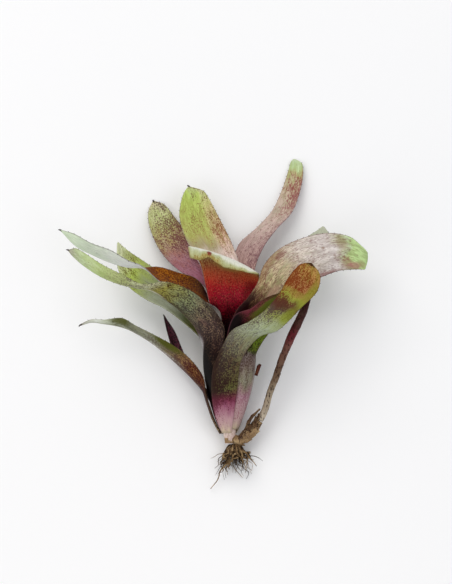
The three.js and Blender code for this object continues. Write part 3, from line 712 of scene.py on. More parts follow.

# %% [markdown]
# ## The colours of each leaf
#
# No two leaves of the rosette have the same colours: those in the light turn green and yellow at the
# tip, those in the heart are red or maroon, painted near black low down where shade lies deep, and the
# outer sides are grey with scurf. Each entry
# describes the side that shows, with its stops from the foot at 0 to the tip at 1. The other side has
# the same zones, with more bloom on an outer side and less on an inner one, unless the entry gives it
# its own.

# %% Looks of the front leaves
PALE_FOOT = (0.0, "#d2bfa0")  # most leaves are bleached where the sheaths shade them
LOOKS = {
    "leaf_front_right": dict(slot="leaf_grey_green", side="back", skin=dict(
        ground=[(0.0, "#d6c2a2"), (0.06, "#c4a49c"), (0.12, "#a87684"), (0.165, "#90506a"),
                (0.2, "#702c46"), (0.225, "#622c34"), (0.25, "#5e4430"), (0.28, "#605c34"),
                # The yellow-green zones at share 0.815 and 0.83 are partly the leaf's own band and partly a
                # painted highlight along its bend.
                (0.4, "#5e5632"), (0.5, "#706c46"), (0.56, "#7a7c58"), (0.62, "#98a484"),
                (0.68, "#98a278"), (0.73, "#868c34"), (0.785, "#6c5a30"), (0.815, "#848638"),
                (0.83, "#94943c"), (0.85, "#a07c44"), (0.91, "#a87048"), (0.96, "#b08848"),
                (1.0, "#a88850")],
        tinge=[(0.1, "#b08890"), (0.21, "#903c58"), (0.245, "#6a4c40"), (0.28, "#545a2c"),
               (0.4, "#4c2018"), (0.5, "#5e3a28"), (0.58, "#74803c"), (0.66, "#8c9850"),
               (0.72, "#7c8418"), (0.79, "#4c2c18"), (0.83, "#8c8c34"), (0.88, "#84702c"),
               (1.0, "#8c8034")],
        wobble=0.013,
        pigment=[(0.0, "#8a4054"), (0.22, "#521428"), (0.27, "#2c1812"), (0.42, "#28100c"),
                 (0.6, "#3c2c1e"), (0.75, "#3c1c0e"), (0.86, "#74300f"), (1.0, "#7c4418")],
        cover=[(0.0, 0.1), (0.15, 0.3), (0.2, 0.54), (0.24, 0.64), (0.3, 0.62), (0.42, 0.62),
               (0.5, 0.55), (0.58, 0.42), (0.68, 0.35), (0.74, 0.45), (0.785, 0.8), (0.825, 0.25),
               (0.87, 0.56), (0.93, 0.54), (1.0, 0.4)],
        lean=0.2, grain_edge=0.05,
        bloom=[(0.0, 0.05), (0.3, 0.0), (0.45, 0.04), (0.6, 0.26), (0.7, 0.18), (0.77, 0.05),
               (0.83, 0.0)],
        # Partly painted shade: the dark oval on the left margin of the sheath, at share 0.37, is its
        # purple-brown deepened to the shade on the left of the bundle.
        blotches_and_painted_light=[(0.79, 0.35, 0.024, 0.55, "#4c2a1c", 0.55), (0.37, 0.95, 0.12, 0.35, "#2c1a14", 0.7),
                 (0.75, -0.7, 0.05, 0.4, "#84901c", 0.5), (0.87, -0.85, 0.07, 0.35, "#868c2c", 0.6),
                 # The yellow-green oval at share 0.855 is partly the leaf's own band and partly a painted
                 # highlight along its bend.
                 (1.0, 0.0, 0.016, 1.6, "#3c2010", 0.95), (0.855, 0.0, 0.012, 1.2, "#8c7c34", 0.5)],
        rim="#5a3c1c")),
    "leaf_front_left": dict(slot="leaf_grey_green", side="back", skin=dict(
        # Partly painted shade: the near-black grains and streaks at share 0.2 deepen the sheath's own
        # purple-brown to the shade on the left of the bundle.
        ground=[(0.0, "#d6c2a2"), (0.08, "#b08a90"), (0.2, "#443226"), (0.4, "#4e3c2c"),
                (0.5, "#80644e"), (0.6, "#868e60"), (0.67, "#928a3e"), (0.74, "#c8cca2"),
                (0.8, "#a6b062"), (0.87, "#b8c884"), (0.95, "#c2d2a2"), (1.0, "#aaa892")],
        tinge=[(0.2, "#1c1008"), (0.4, "#301810"), (0.5, "#4c2830"), (0.58, "#68745c"),
               (0.64, "#807a2c"), (0.72, "#989856"), (0.82, "#8c9c44"), (0.9, "#a4bc64"),
               (1.0, "#9ca084")],
        pigment=[(0.0, "#6a2438"), (0.2, "#0c0504"), (0.4, "#180a08"), (0.5, "#2c1214"),
                 (0.6, "#302418"), (0.68, "#402a10"), (0.8, "#5a4a1c"), (0.9, "#8a7a4a"),
                 (1.0, "#5c4c3a")],
        cover=[(0.0, 0.2), (0.2, 0.75), (0.42, 0.68), (0.5, 0.6), (0.58, 0.5), (0.65, 0.46),
               (0.72, 0.42), (0.78, 0.46), (0.84, 0.3), (0.92, 0.14), (1.0, 0.3)],
        grain_edge=0.055,
        bloom=[(0.0, 0.0), (0.42, 0.0), (0.5, 0.05), (0.6, 0.05), (0.68, 0.0), (0.76, 0.26),
               (0.9, 0.12), (1.0, 0.1)],
        # Partly painted shade: the near-black oval over the sheath at share 0.28 is the leaf's dark purple
        # base, deepened to the shade on the left of the bundle.
        blotches_and_painted_light=[(0.28, 0.2, 0.17, 0.7, "#060303", 1.0), (0.74, 0.95, 0.09, 0.22, "#cfcebb", 0.8),
                 (0.52, -0.9, 0.06, 0.25, "#24140e", 0.5), (0.575, 0.85, 0.05, 0.3, "#342810", 0.55),
                 (0.415, 0.95, 0.06, 0.42, "#b4b0b0", 0.95)],
        rim="#4c4030")),
    "leaf_front_inner": dict(slot="leaf_maroon", side="back", skin=dict(
        ground=[(0.0, "#cdbb9c"), (0.06, "#c0a09a"), (0.19, "#ac8490"), (0.235, "#988078"),
                (0.27, "#8b8670"), (0.36, "#84706a"), (0.45, "#80726a"), (0.5, "#6c7c24"),
                (0.6, "#6c881c"), (0.68, "#5a5c20"), (0.8, "#5c5a1c"), (1.0, "#505018")],
        # Painted shade: the near-black stops of this half, from share 0.47 to 0.63, and the near-black
        # grains at 0.5 stand for the deep shadow between the sheath layers, over the leaf's own dark
        # maroon.
        half=dict(at=(0.2, 0.55), ground=[
            PALE_FOOT, (0.06, "#caaaa4"), (0.17, "#8a4058"), (0.2, "#702844"), (0.235, "#664238"),
            (0.265, "#6c5a40"), (0.4, "#44241c"), (0.47, "#0a0204"), (0.63, "#0e0204"),
            (0.72, "#642430"), (0.82, "#6c2c34"), (0.92, "#5a3a28"), (1.0, "#5a5a20")]),
        tinge=[(0.0, "#c09c94"), (0.2, "#a06c80"), (0.26, "#7c7448"), (0.4, "#5c4438"),
               (0.47, "#40281c"), (0.7, "#4c301c"), (1.0, "#4c4418")],
        tinge_cover=0.4,
        pigment=[(0.0, "#9a5a68"), (0.2, "#86405a"), (0.26, "#503a2c"), (0.38, "#4c3028"),
                 (0.5, "#140404"), (0.75, "#33140c"), (1.0, "#3c2a0c")],
        cover=[(0.0, 0.1), (0.15, 0.42), (0.26, 0.45), (0.36, 0.5), (0.48, 0.45), (0.7, 0.35),
               (0.9, 0.5), (1.0, 0.5)],
        bloom=[(0.0, 0.05), (0.25, 0.1), (0.4, 0.04), (0.5, 0.0)],
        # Painted shade: the near-black oval at share 0.6, near the left margin.
        blotches_and_painted_light=[(0.2, -1.0, 0.2, 0.16, "#d2bcbc", 0.8), (0.6, 0.8, 0.09, 0.4, "#080203", 0.9),
                 (0.84, 0.44, 0.13, 0.27, "#525c16", 0.85)],
        rim="#6a3c44", rim_width=0.06, rim_cover=0.4)),
}
print("looks so far:", len(LOOKS))

# %% Looks of the leaves to both sides
LOOKS.update({
    "leaf_right_arching": dict(slot="leaf_grey_pink", side="back", skin=dict(
        # Painted shade: the dark maroon zones and dense grains from share 0.42 to 0.52 stand for the front
        # leaf's shadow on this base, over its own dark maroon.
        ground=[PALE_FOOT, (0.1, "#b68c96"), (0.25, "#8a7a70"), (0.42, "#3c1214"), (0.5, "#482018"),
                (0.55, "#94704a"), (0.62, "#dccc9a"), (0.7, "#d0bc96"), (0.78, "#e0d6ca"),
                (0.86, "#ded6d0"), (0.885, "#c8c6a4"), (0.905, "#c2d8a2"), (0.93, "#bcd88c"),
                (0.97, "#c0de92"), (1.0, "#b4d086")],
        tinge=[(0.42, "#240a08"), (0.52, "#3a1a10"), (0.58, "#706830"), (0.66, "#9a9a5c"),
               (0.74, "#b4ac8c"), (0.84, "#b4a8a0"), (0.89, "#b09c94"), (0.93, "#8c9c58"),
               (1.0, "#a0bc70")],
        tinge_cover=0.75,
        pigment=[(0.0, "#8a3a54"), (0.42, "#1a0406"), (0.52, "#2c0a0c"), (0.6, "#7c4c34"),
                 (0.7, "#90684e"), (0.85, "#947874"), (0.91, "#6a4834"), (1.0, "#8a6a44")],
        cover=[(0.0, 0.3), (0.42, 0.85), (0.5, 0.78), (0.56, 0.56), (0.63, 0.42), (0.7, 0.42),
               (0.8, 0.36), (0.88, 0.34), (0.9, 0.46), (0.92, 0.36), (0.94, 0.22), (0.965, 0.1),
               (1.0, 0.1)],
        grain_mm=(2.2, 0.6), grain_edge=0.08,
        bloom=[(0.0, 0.1), (0.4, 0.0), (0.52, 0.0), (0.62, 0.08), (0.75, 0.24), (0.88, 0.24),
               (0.92, 0.08), (1.0, 0.1)],
        dust="#d4cecc",
        # Painted shade: the first dark oval, at share 0.53 near the left margin.
        blotches_and_painted_light=[(0.53, 0.9, 0.05, 0.4, "#1c0606", 0.8), (0.66, 0.85, 0.08, 0.22, "#7c5434", 0.55),
                 (0.715, 0.72, 0.02, 0.12, "#74383c", 0.55), (0.905, -0.6, 0.02, 0.36, "#9a7660", 0.6),
                 (0.935, -0.78, 0.03, 0.22, "#a8746e", 0.75), (0.97, -0.62, 0.02, 0.3, "#9c8462", 0.5),
                 (0.9, 0.5, 0.02, 0.5, "#8c7c48", 0.45), (0.62, -0.85, 0.06, 0.3, "#8a5a54", 0.5),
                 # Painted light: the pale oval at share 0.59 lightens a spot near the junction that lies in
                 # shade.
                 (0.59, -0.2, 0.045, 0.32, "#cca88c", 0.7), (0.78, -0.95, 0.09, 0.14, "#8a4a48", 0.6),
                 (0.835, 0.25, 0.006, 0.07, "#84604c", 0.6),
                 (0.865, -0.2, 0.005, 0.05, "#84604c", 0.5)],
        rim="#6a3a36", rim_cover=0.45)),
    "leaf_back_right": dict(slot="leaf_grey_green", side="face", skin=dict(
        ground=[PALE_FOOT, (0.15, "#a07884"), (0.4, "#7a745c"), (0.7, "#94987c"), (0.9, "#b4ba9e"),
                (1.0, "#bcc0a8")],
        pigment=[(0.0, "#7a3048"), (0.4, "#4a2424"), (0.8, "#6a5a48"), (1.0, "#8a8a70")],
        cover=[(0.0, 0.2), (0.4, 0.5), (0.8, 0.35), (1.0, 0.2)],
        bloom=[(0.0, 0.1), (0.5, 0.25), (1.0, 0.35)], dust="#c6cab8", rim="#7a8060")),
    "leaf_left_broad": dict(slot="leaf_green", side="face", skin=dict(
        ground=[PALE_FOOT, (0.2, "#8a5a60"), (0.4, "#544c24"), (0.47, "#746c22"), (0.53, "#606824"),
                (0.6, "#58622f"), (0.67, "#acb498"), (0.75, "#a8b08c"), (0.8, "#a8b46c"),
                (0.86, "#b8cc60"), (0.92, "#dce4a8"), (1.0, "#ecf0d4")],
        half=dict(at=(0.0, 0.5), ground=[
            PALE_FOOT, (0.4, "#544c24"), (0.6, "#5c6028"), (0.7, "#8a8c40"), (0.78, "#98a848"),
            (0.86, "#b4c26a"), (0.92, "#c8d290"), (1.0, "#e4e8c4")]),
        tinge=[(0.4, "#4c2c14"), (0.55, "#74742c"), (0.7, "#8a906a"), (0.8, "#9aa674"),
               (0.88, "#80881e"), (1.0, "#a0ac70")],
        tinge_cover=0.5,
        pigment=[(0.0, "#6a2438"), (0.4, "#62300f"), (0.5, "#6a4a1c"), (0.6, "#4a4a2e"),
                 (0.75, "#7a7866"), (0.86, "#6a641e"), (0.92, "#787038"), (1.0, "#7c6e48")],
        cover=[(0.0, 0.3), (0.4, 0.45), (0.5, 0.35), (0.6, 0.3), (0.7, 0.25), (0.84, 0.28),
               (0.89, 0.46), (0.94, 0.3), (1.0, 0.25)],
        bloom=[(0.0, 0.0), (0.5, 0.0), (0.6, 0.1), (0.69, 0.36), (0.78, 0.24), (0.84, 0.0), (1.0, 0.1)],
        dust="#b6baac", rim="#a9a884")),
    "leaf_long_left": dict(slot="leaf_orange", side="face", skin=dict(
        ground=[PALE_FOOT, (0.2, "#5a2430"), (0.4, "#180406"), (0.48, "#240804"), (0.54, "#6c3806"),
                (0.6, "#9c5c0c"), (0.66, "#a4600a"), (0.7, "#6c3c08"), (0.75, "#8a8a5c"),
                (1.0, "#a8b888")],
        tinge=[(0.5, "#4c1c04"), (0.62, "#6c2c04"), (0.7, "#742c04"), (1.0, "#8a8a5c")],
        pigment=[(0.0, "#3a0c18"), (0.4, "#0c0202"), (0.5, "#2c0a04"), (0.6, "#481004"),
                 (0.7, "#541804"), (0.76, "#6a5a38"), (1.0, "#6a6a40")],
        cover=[(0.0, 0.4), (0.42, 0.7), (0.5, 0.6), (0.6, 0.55), (0.7, 0.55), (0.76, 0.3), (1.0, 0.3)],
        grain_edge=0.05,
        flecks=dict(colour="#c08c20", cover=[(0.46, 0.0), (0.52, 0.4), (0.7, 0.5), (0.75, 0.0)]),
        bloom=[(0.0, 0.0), (1.0, 0.0)], rim="#9c8c88", rim_width=0.04, rim_cover=0.5),
        other=dict(
            ground=[PALE_FOOT, (0.3, "#5a3a40"), (0.6, "#9a928c"), (0.7, "#d6d4d2"), (0.76, "#eaeae8"),
                    (0.83, "#dae0d2"), (0.91, "#ccdcbc"), (1.0, "#c8dab4")],
            tinge=(), pigment=[(0.0, "#5a2434"), (0.6, "#6a5a54"), (0.75, "#9c9e98"), (1.0, "#8a9a74")],
            cover=[(0.0, 0.3), (0.6, 0.25), (0.75, 0.08), (0.85, 0.16), (1.0, 0.1)], grain_edge=0.07,
            flecks=None, bloom=[(0.0, 0.1), (0.6, 0.25), (0.75, 0.35), (1.0, 0.2)], dust="#e8eae4",
            rim="#4c4438", rim_width=0.09, rim_cover=0.55)),
})
print("looks so far:", len(LOOKS))

# %% Looks of the upright leaves
LOOKS.update({
    "leaf_top_right": dict(slot="leaf_grey_pink", side="face", skin=dict(
        ground=[PALE_FOOT, (0.2, "#8a5068"), (0.5, "#bc949c"), (0.58, "#caa69c"), (0.66, "#b6968e"),
                (0.74, "#ccb4a8"), (0.8, "#c6b0a0"), (0.85, "#c4b29a"), (0.91, "#c6b69a"),
                (0.945, "#b6b078"), (0.97, "#bcd296"), (1.0, "#c6d6b0")],
        tinge=[(0.5, "#8a5a5c"), (0.62, "#96706c"), (0.7, "#a89484"), (0.8, "#a0987c"),
               (0.88, "#98885c"), (0.94, "#98a458"), (1.0, "#a8c480")],
        pigment=[(0.0, "#6a2438"), (0.55, "#64303c"), (0.65, "#74444a"), (0.8, "#966a62"),
                 (0.88, "#8a4c48"), (0.95, "#8a4a34"), (1.0, "#8a9a60")],
        cover=[(0.0, 0.3), (0.55, 0.34), (0.62, 0.34), (0.7, 0.38), (0.78, 0.36), (0.85, 0.45),
               (0.91, 0.52), (0.945, 0.4), (0.97, 0.08), (1.0, 0.1)],
        lean=0.14, grain_mm=(1.8, 0.65),
        bloom=[(0.0, 0.1), (0.55, 0.05), (0.7, 0.12), (0.8, 0.1), (0.9, 0.05), (1.0, 0.1)],
        dust="#cfc4c8", rim="#7c4a52")),
    "leaf_top_left": dict(slot="leaf_mauve", side="face", skin=dict(
        ground=[PALE_FOOT, (0.2, "#8a5068"), (0.5, "#a4506a"), (0.63, "#a8647e"), (0.7, "#a26c78"),
                (0.76, "#aa8478"), (0.82, "#b6a878"), (0.88, "#b8bc7c"), (0.94, "#ccd098"),
                (1.0, "#ccc49c")],
        tinge=[(0.5, "#8c3c54"), (0.65, "#9a4c58"), (0.75, "#a8684c"), (0.85, "#aca450"),
               (0.92, "#a8bc60"), (1.0, "#b8b880")],
        pigment=[(0.0, "#6a2438"), (0.5, "#4c1630"), (0.65, "#6c2a44"), (0.75, "#702e36"),
                 (0.85, "#6a3622"), (0.95, "#5c4224"), (1.0, "#5a4434")],
        cover=[(0.0, 0.3), (0.5, 0.35), (0.62, 0.22), (0.7, 0.42), (0.78, 0.52), (0.86, 0.54),
               (0.9, 0.48), (0.95, 0.42), (1.0, 0.38)],
        lean=0.1, grain_edge=0.065, bloom=[(0.0, 0.1), (0.6, 0.12), (0.8, 0.08), (1.0, 0.05)],
        dust="#cfc4c8", rim="#6c4440")),
    "leaf_top_middle": dict(slot="leaf_green", side="face", skin=dict(
        ground=[PALE_FOOT, (0.2, "#a07888"), (0.5, "#c0a0a8"), (0.66, "#f0dcd6"), (0.72, "#a0966a"),
                (0.77, "#b4ba66"), (0.85, "#b0c05c"), (0.92, "#b2c45e"), (0.96, "#b6ce66"),
                (1.0, "#b8bc90")],
        half=dict(at=(0.1, 0.7), ground=[
            PALE_FOOT, (0.5, "#c0a0a8"), (0.68, "#f2dcd6"), (0.73, "#e0c4b4"), (0.8, "#d4b292"),
            (0.88, "#d4c490"), (0.95, "#ccce8c"), (1.0, "#b8b890")]),
        tinge=[(0.6, "#c8a8ac"), (0.7, "#b09670"), (0.78, "#a09c48"), (0.86, "#969044"),
               (0.92, "#9cac44"), (1.0, "#a4ac68")],
        pigment=[(0.0, "#7a3a54"), (0.6, "#a0788a"), (0.75, "#905a3c"), (0.85, "#805424"),
                 (1.0, "#6e5c30")],
        cover=[(0.0, 0.1), (0.66, 0.02), (0.73, 0.22), (0.8, 0.38), (0.86, 0.36), (0.92, 0.28),
               (1.0, 0.3)],
        lean=0.14, bloom=[(0.0, 0.1), (0.66, 0.15), (0.75, 0.05), (1.0, 0.05)], dust="#d8cccc",
        rim="#7c6a48")),
})
print("looks so far:", len(LOOKS))

# %% Looks of the red leaf in the heart
LOOKS.update({
    # Partly painted highlight: the whitish zones of this leaf from share 0.87 to the tip are grey scurf,
    # brightened as the highlight where its end rolls over.
    "leaf_centre_red": dict(slot="leaf_red", side="face", skin=dict(
        # Painted shade: the near-black flesh and grains up to share 0.42, and the darker red up to 0.48,
        # stand for the deep well the leaf stands in, over its own crimson.
        ground=[(0.0, "#2a0510"), (0.38, "#140406"), (0.43, "#5a0a18"), (0.48, "#900e28"),
                (0.57, "#b41a34"), (0.63, "#c01c2a"), (0.68, "#ca4430"), (0.73, "#bc5630"),
                (0.765, "#b46a3c"), (0.79, "#b8884c"), (0.815, "#b89a66"), (0.84, "#b0b068"),
                (0.87, "#d8dac8"), (1.0, "#dcdcd2")],
        skew=-0.02,
        pigment=[(0.0, "#1a0208"), (0.42, "#160206"), (0.5, "#5a0414"), (0.62, "#8c0e1e"),
                 (0.7, "#a02210"), (0.76, "#94301a"), (0.82, "#7c4420"), (0.86, "#8a8a38"),
                 (0.89, "#c0c2a8"), (1.0, "#c8caac")],
        cover=[(0.0, 0.4), (0.42, 0.55), (0.5, 0.5), (0.6, 0.4), (0.74, 0.35), (0.81, 0.5),
               (0.84, 0.35), (0.87, 0.25), (0.9, 0.1), (1.0, 0.1)],
        flecks=dict(colour="#dc9468", cover=[
            (0.46, 0.0), (0.55, 0.3), (0.63, 0.36), (0.72, 0.5), (0.8, 0.48), (0.84, 0.0)]),
        bloom=[(0.0, 0.0), (1.0, 0.0)],
        # Painted shade: the dark red oval low on the right, at share 0.6, and the near-black one low on the
        # left, at share 0.48.
        blotches_and_painted_light=[(0.775, -0.05, 0.035, 0.42, "#a88c48", 0.6),
                 (0.85, -0.42, 0.055, 0.09, "#7c2c20", 0.95), (0.6, 0.8, 0.12, 0.35, "#4c0408", 0.6),
                 (0.48, -0.95, 0.07, 0.4, "#180406", 0.8)],
        rim="#6a1416", rim_width=0.04, roughness=0.36),
        other=dict(
            # Partly painted highlight: the whitish band of the rolled end, from share 0.88 to 0.94, is
            # heavy grey bloom, brightened as the highlight on its curve.
            ground=[PALE_FOOT, (0.3, "#6a2030"), (0.7, "#7a4a38"), (0.82, "#a8b070"), (0.88, "#e4e4dc"),
                    (0.94, "#dcdece"), (0.965, "#b6ba8e"), (0.985, "#b2b27c"), (1.0, "#b0a262")],
            skew=-0.02,
            pigment=[(0.0, "#6a2438"), (0.8, "#8a8a60"), (0.93, "#a0a860"), (1.0, "#8a6a30")],
            cover=[(0.0, 0.3), (0.85, 0.1), (0.95, 0.15), (1.0, 0.4)], flecks=None,
            bloom=[(0.0, 0.1), (0.7, 0.35), (0.88, 0.6), (0.93, 0.1), (1.0, 0.0)], dust="#dedcd0",
            blotches_and_painted_light=[(0.955, -0.42, 0.03, 0.07, "#7c2c20", 0.95)])),
})
print("looks so far:", len(LOOKS))

# %% Looks of the back leaf and the two low ones
LOOKS.update({
    "leaf_back": dict(slot="leaf_green", side="back", skin=dict(
        ground=[PALE_FOOT, (0.12, "#a07884"), (0.3, "#8a8058"), (0.6, "#8a9a68"), (1.0, "#9cac68")],
        pigment=[(0.0, "#7a3048"), (0.4, "#4a2a20"), (1.0, "#5a4a2a")],
        cover=[(0.0, 0.2), (0.3, 0.5), (0.6, 0.4), (1.0, 0.35)],
        bloom=[(0.0, 0.1), (0.5, 0.3), (1.0, 0.3)], rim="#7a7a50")),
    "leaf_side_low": dict(slot="leaf_orange", side="back", skin=dict(
        ground=[(0.0, "#c0a880"), (0.3, "#3a2416"), (0.42, "#644428"), (0.5, "#906a3c"),
                (0.57, "#8c6c3e"), (0.64, "#646036"), (0.7, "#82846e"), (0.79, "#54563c"),
                (0.84, "#4a5020"), (0.88, "#b4baa0"), (0.95, "#e4e7dc"), (1.0, "#8c8476")],
        half=dict(at=(0.0, 0.45), ground=[
            (0.0, "#c0a880"), (0.3, "#2c1610"), (0.45, "#5c3428"), (0.55, "#806a5e"), (0.62, "#b2a8a2"),
            (0.7, "#b8b4ae"), (0.8, "#b4b2a2"), (0.86, "#7c8060"), (1.0, "#a4a494")]),
        tinge=[(0.4, "#4c2014"), (0.5, "#6c3c18"), (0.6, "#6a5c2a"), (0.8, "#62662e"), (0.9, "#98a070"),
               (1.0, "#c8c8b4")],
        tinge_cover=0.5,
        pigment=[(0.0, "#3a1a10"), (0.42, "#380e0a"), (0.55, "#48180e"), (0.65, "#4c3418"),
                 (0.84, "#3c3c14"), (1.0, "#6a5a48")],
        cover=[(0.0, 0.5), (0.4, 0.72), (0.5, 0.62), (0.57, 0.58), (0.64, 0.46), (0.8, 0.36),
               (0.85, 0.45), (0.9, 0.1), (1.0, 0.25)],
        grain_edge=0.05, bloom=[(0.0, 0.0), (0.5, 0.0), (0.65, 0.14), (1.0, 0.25)], dust="#c4c6ba",
        blotches_and_painted_light=[(0.63, -0.9, 0.07, 0.6, "#4a4c12", 0.95), (0.84, -0.6, 0.04, 0.8, "#4c4e1c", 0.85),
                 (0.36, 0.2, 0.07, 1.0, "#2a1810", 0.8)],
        rim="#5a5430")),
    "leaf_side_spike": dict(slot="leaf_maroon", side="back", skin=dict(
        ground=[(0.0, "#8b7355"), (0.4, "#3c2018"), (0.6, "#542a24"), (0.75, "#6a3040"),
                (1.0, "#441a28")],
        pigment=[(0.0, "#3a1a10"), (0.5, "#220c0c"), (1.0, "#180408")],
        cover=[(0.0, 0.5), (0.6, 0.6), (0.9, 0.55), (1.0, 0.8)],
        bloom=[(0.0, 0.05), (0.8, 0.15), (1.0, 0.0)], dust="#9a7a84", rim="#1c0a0e", roughness=0.36)),
})
print("looks:", len(LOOKS))

# %% Skins of both sides, and the horn of the spines
BARE_SIDE = dict(bloom=[(0.0, 0.0), (1.0, 0.05)], roughness=0.36)
DUSTY_SIDE = dict(bloom=[(0.0, 0.1), (0.4, 0.3), (0.8, 0.45), (1.0, 0.3)], roughness=0.48)
SEED_STEP = 3.7
HORN_SCALE = 900.0  # per metre, so that a grain is 1.1 mm long


def leaf_skins(name, seed):
    """The materials of both sides: the outer side first, then the one towards the heart."""
    look = LOOKS[name]
    usual = DUSTY_SIDE if look["side"] == "face" else BARE_SIDE
    hidden = {**look["skin"], **usual, **look.get("other", {})}
    sides = {"back": hidden, "face": hidden, look["side"]: look["skin"]}
    return [leaf_skin(f"{name}_{side}", seed * SEED_STEP, sides[side]) for side in ("back", "face")]


def horn_material():
    """Horn of the spines and hooks: dark, dry and a little glossy, so each tooth has a glint."""
    material, tree = new_material("leaf_spine_horn")
    spot = add(tree, "TexCoord").outputs["Object"]
    grain = add(tree, "TexNoise", {"Vector": spot, "Scale": HORN_SCALE, "Detail": 2.0})
    colour = add(tree, "ValToRGB", {"Fac": grain}, stops=[(0.35, "#160c0a"), (0.65, "#3c241a")])
    skin = add(tree, "BsdfPrincipled", {"Base Color": colour, "Roughness": 0.45, "IOR": 1.5})
    add(tree, "OutputMaterial", {"Surface": skin})
    return material


HORN = horn_material()
print("horn:", HORN.name)

# %% [markdown]
# ## Growing the leaves
#
# A flat grid is the right start for a leaf: it already has rows along the leaf and columns across it.
# Each of its points is carried to the arc of its row, and a Solidify modifier gives the blade its
# thickness, thinner at the margins as on the real leaf. The modifier also gives the second side its
# own material slot. Then the modifier is made real and the marginal spines are set into the edge.

# %% The surface of a leaf
COLUMNS = 22
RIPPLE_MM = 0.22
RIPPLE_ALONG, RIPPLE_ACROSS = 0.045, 1.1
RIPPLE_MIDRIB, RIPPLE_MARGIN = 0.4, 1.6
RIPPLE_ROWS = 12  # the ripple fades in over these rows above the throat
FLOOR_LIFT = (LEAF_THICKNESS / 2 + 0.05) * MM  # a blade's middle stays this far over the floor
FLAP_LEAF = "leaf_centre_red"
FLAP_START = 0.86
FLAP_REACH = [  # place across the leaf, and how much of the rolled end is there
    (-1.0, 1.0), (-0.7, 1.0), (-0.5, 0.84), (-0.42, 0.7), (-0.3, 0.84), (0.0, 1.0), (0.35, 0.95),
    (0.7, 0.85), (1.0, 0.65)]


def ripple(seed, row, v):
    """A slight swell of the blade, strongest at its margins."""
    wave = noise.noise(Vector((row * RIPPLE_ALONG, v * RIPPLE_ACROSS, seed)))
    return RIPPLE_MM * wave * (RIPPLE_MIDRIB + RIPPLE_MARGIN * v * v)


def flap_point(arcs, row, v):
    """Point of a leaf whose rolled end is not equally long all along its edge."""
    start = round(FLAP_START * (len(arcs) - 1))
    i = next(i for i, (place, _) in enumerate(FLAP_REACH) if place >= v)
    (v0, reach0), (v1, reach1) = FLAP_REACH[max(i - 1, 0)], FLAP_REACH[i]
    reach = reach0 + (reach1 - reach0) * (v - v0) / max(v1 - v0, SHORTEST)
    spot = start + (row - start) * reach
    low = int(spot)
    near, far = arc_point(arcs[low], v), arc_point(arcs[min(low + 1, len(arcs) - 1)], v)
    return near.lerp(far, spot - low)


def leaf_surface(name, arcs):
    """The smooth leaf: a point for each row from foot to tip and each column across."""
    rows = len(arcs) - 1
    flap_rows = round(FLAP_START * rows) if name == FLAP_LEAF else rows
    surface = {}
    for row in range(rows + 1):
        for column in range(COLUMNS + 1):
            v = 2 * column / COLUMNS - 1
            surface[row, column] = flap_point(arcs, row, v) if row > flap_rows else arc_point(arcs[row], v)
    return surface, rows


print("points of the red leaf:", len(leaf_surface(FLAP_LEAF, ROUTES[FLAP_LEAF][0])[0]))

# %% Carry a grid to the surface
def rippled(surface, rows, row, column, sheath_rows, seed):
    """A point of the leaf in the world, rippled above the throat and kept off the floor."""
    point = surface[row, column].copy()
    if row >= sheath_rows:
        along = surface[min(row + 1, rows), column] - surface[row - 1, column]
        side = surface[row, min(column + 1, COLUMNS)] - surface[row, max(column - 1, 0)]
        swell = ripple(seed, row, 2 * column / COLUMNS - 1)
        point += along.cross(side).normalized() * swell * min(1.0, (row - sheath_rows) / RIPPLE_ROWS)
    world = TO_WORLD @ point
    world.z = max(world.z, FLOOR_LIFT)
    return world


def leaf_grid(arcs, surface, rows, sheath_rows, seed):
    """The leaf as a sheet without thickness, with its share map and its map in millimetres."""
    bm = bmesh.new()
    place = bm.loops.layers.uv.new("leaf")
    flesh = bm.loops.layers.uv.new("flesh_mm")
    bmesh.ops.create_grid(bm, x_segments=rows, y_segments=COLUMNS, size=1)
    lengths = [0.0]
    for a, b in zip(arcs, arcs[1:]):
        lengths.append(lengths[-1] + (b[1] - a[1]).length)
    throat = lengths[sheath_rows - 1]
    cell = {}
    for v in bm.verts:
        cell[v] = round((v.co.x + 1) / 2 * rows), round((v.co.y + 1) / 2 * COLUMNS)
        v.co = rippled(surface, rows, *cell[v], sheath_rows, seed)
    for loop in (loop for face in bm.faces for loop in face.loops):
        row, column = cell[loop.vert]
        length, width = lengths[row], (arcs[row][0] - arcs[row][2]).length
        if row < sheath_rows:
            share = THROAT_SHARE * length / throat
        else:
            share = THROAT_SHARE + (1 - THROAT_SHARE) * (length - throat) / (lengths[-1] - throat)
        loop[place].uv = (share, column / COLUMNS)
        loop[flesh].uv = (length, (column / COLUMNS - 0.5) * width)
    return bm


print("highest ripple of a margin in mm:", round(RIPPLE_MM * (RIPPLE_MIDRIB + RIPPLE_MARGIN), 2))

# %% Give the sheet its thickness
MARGIN_THICKNESS = 0.6
MARGIN_POWER = 3
HORN_SLOT = 2


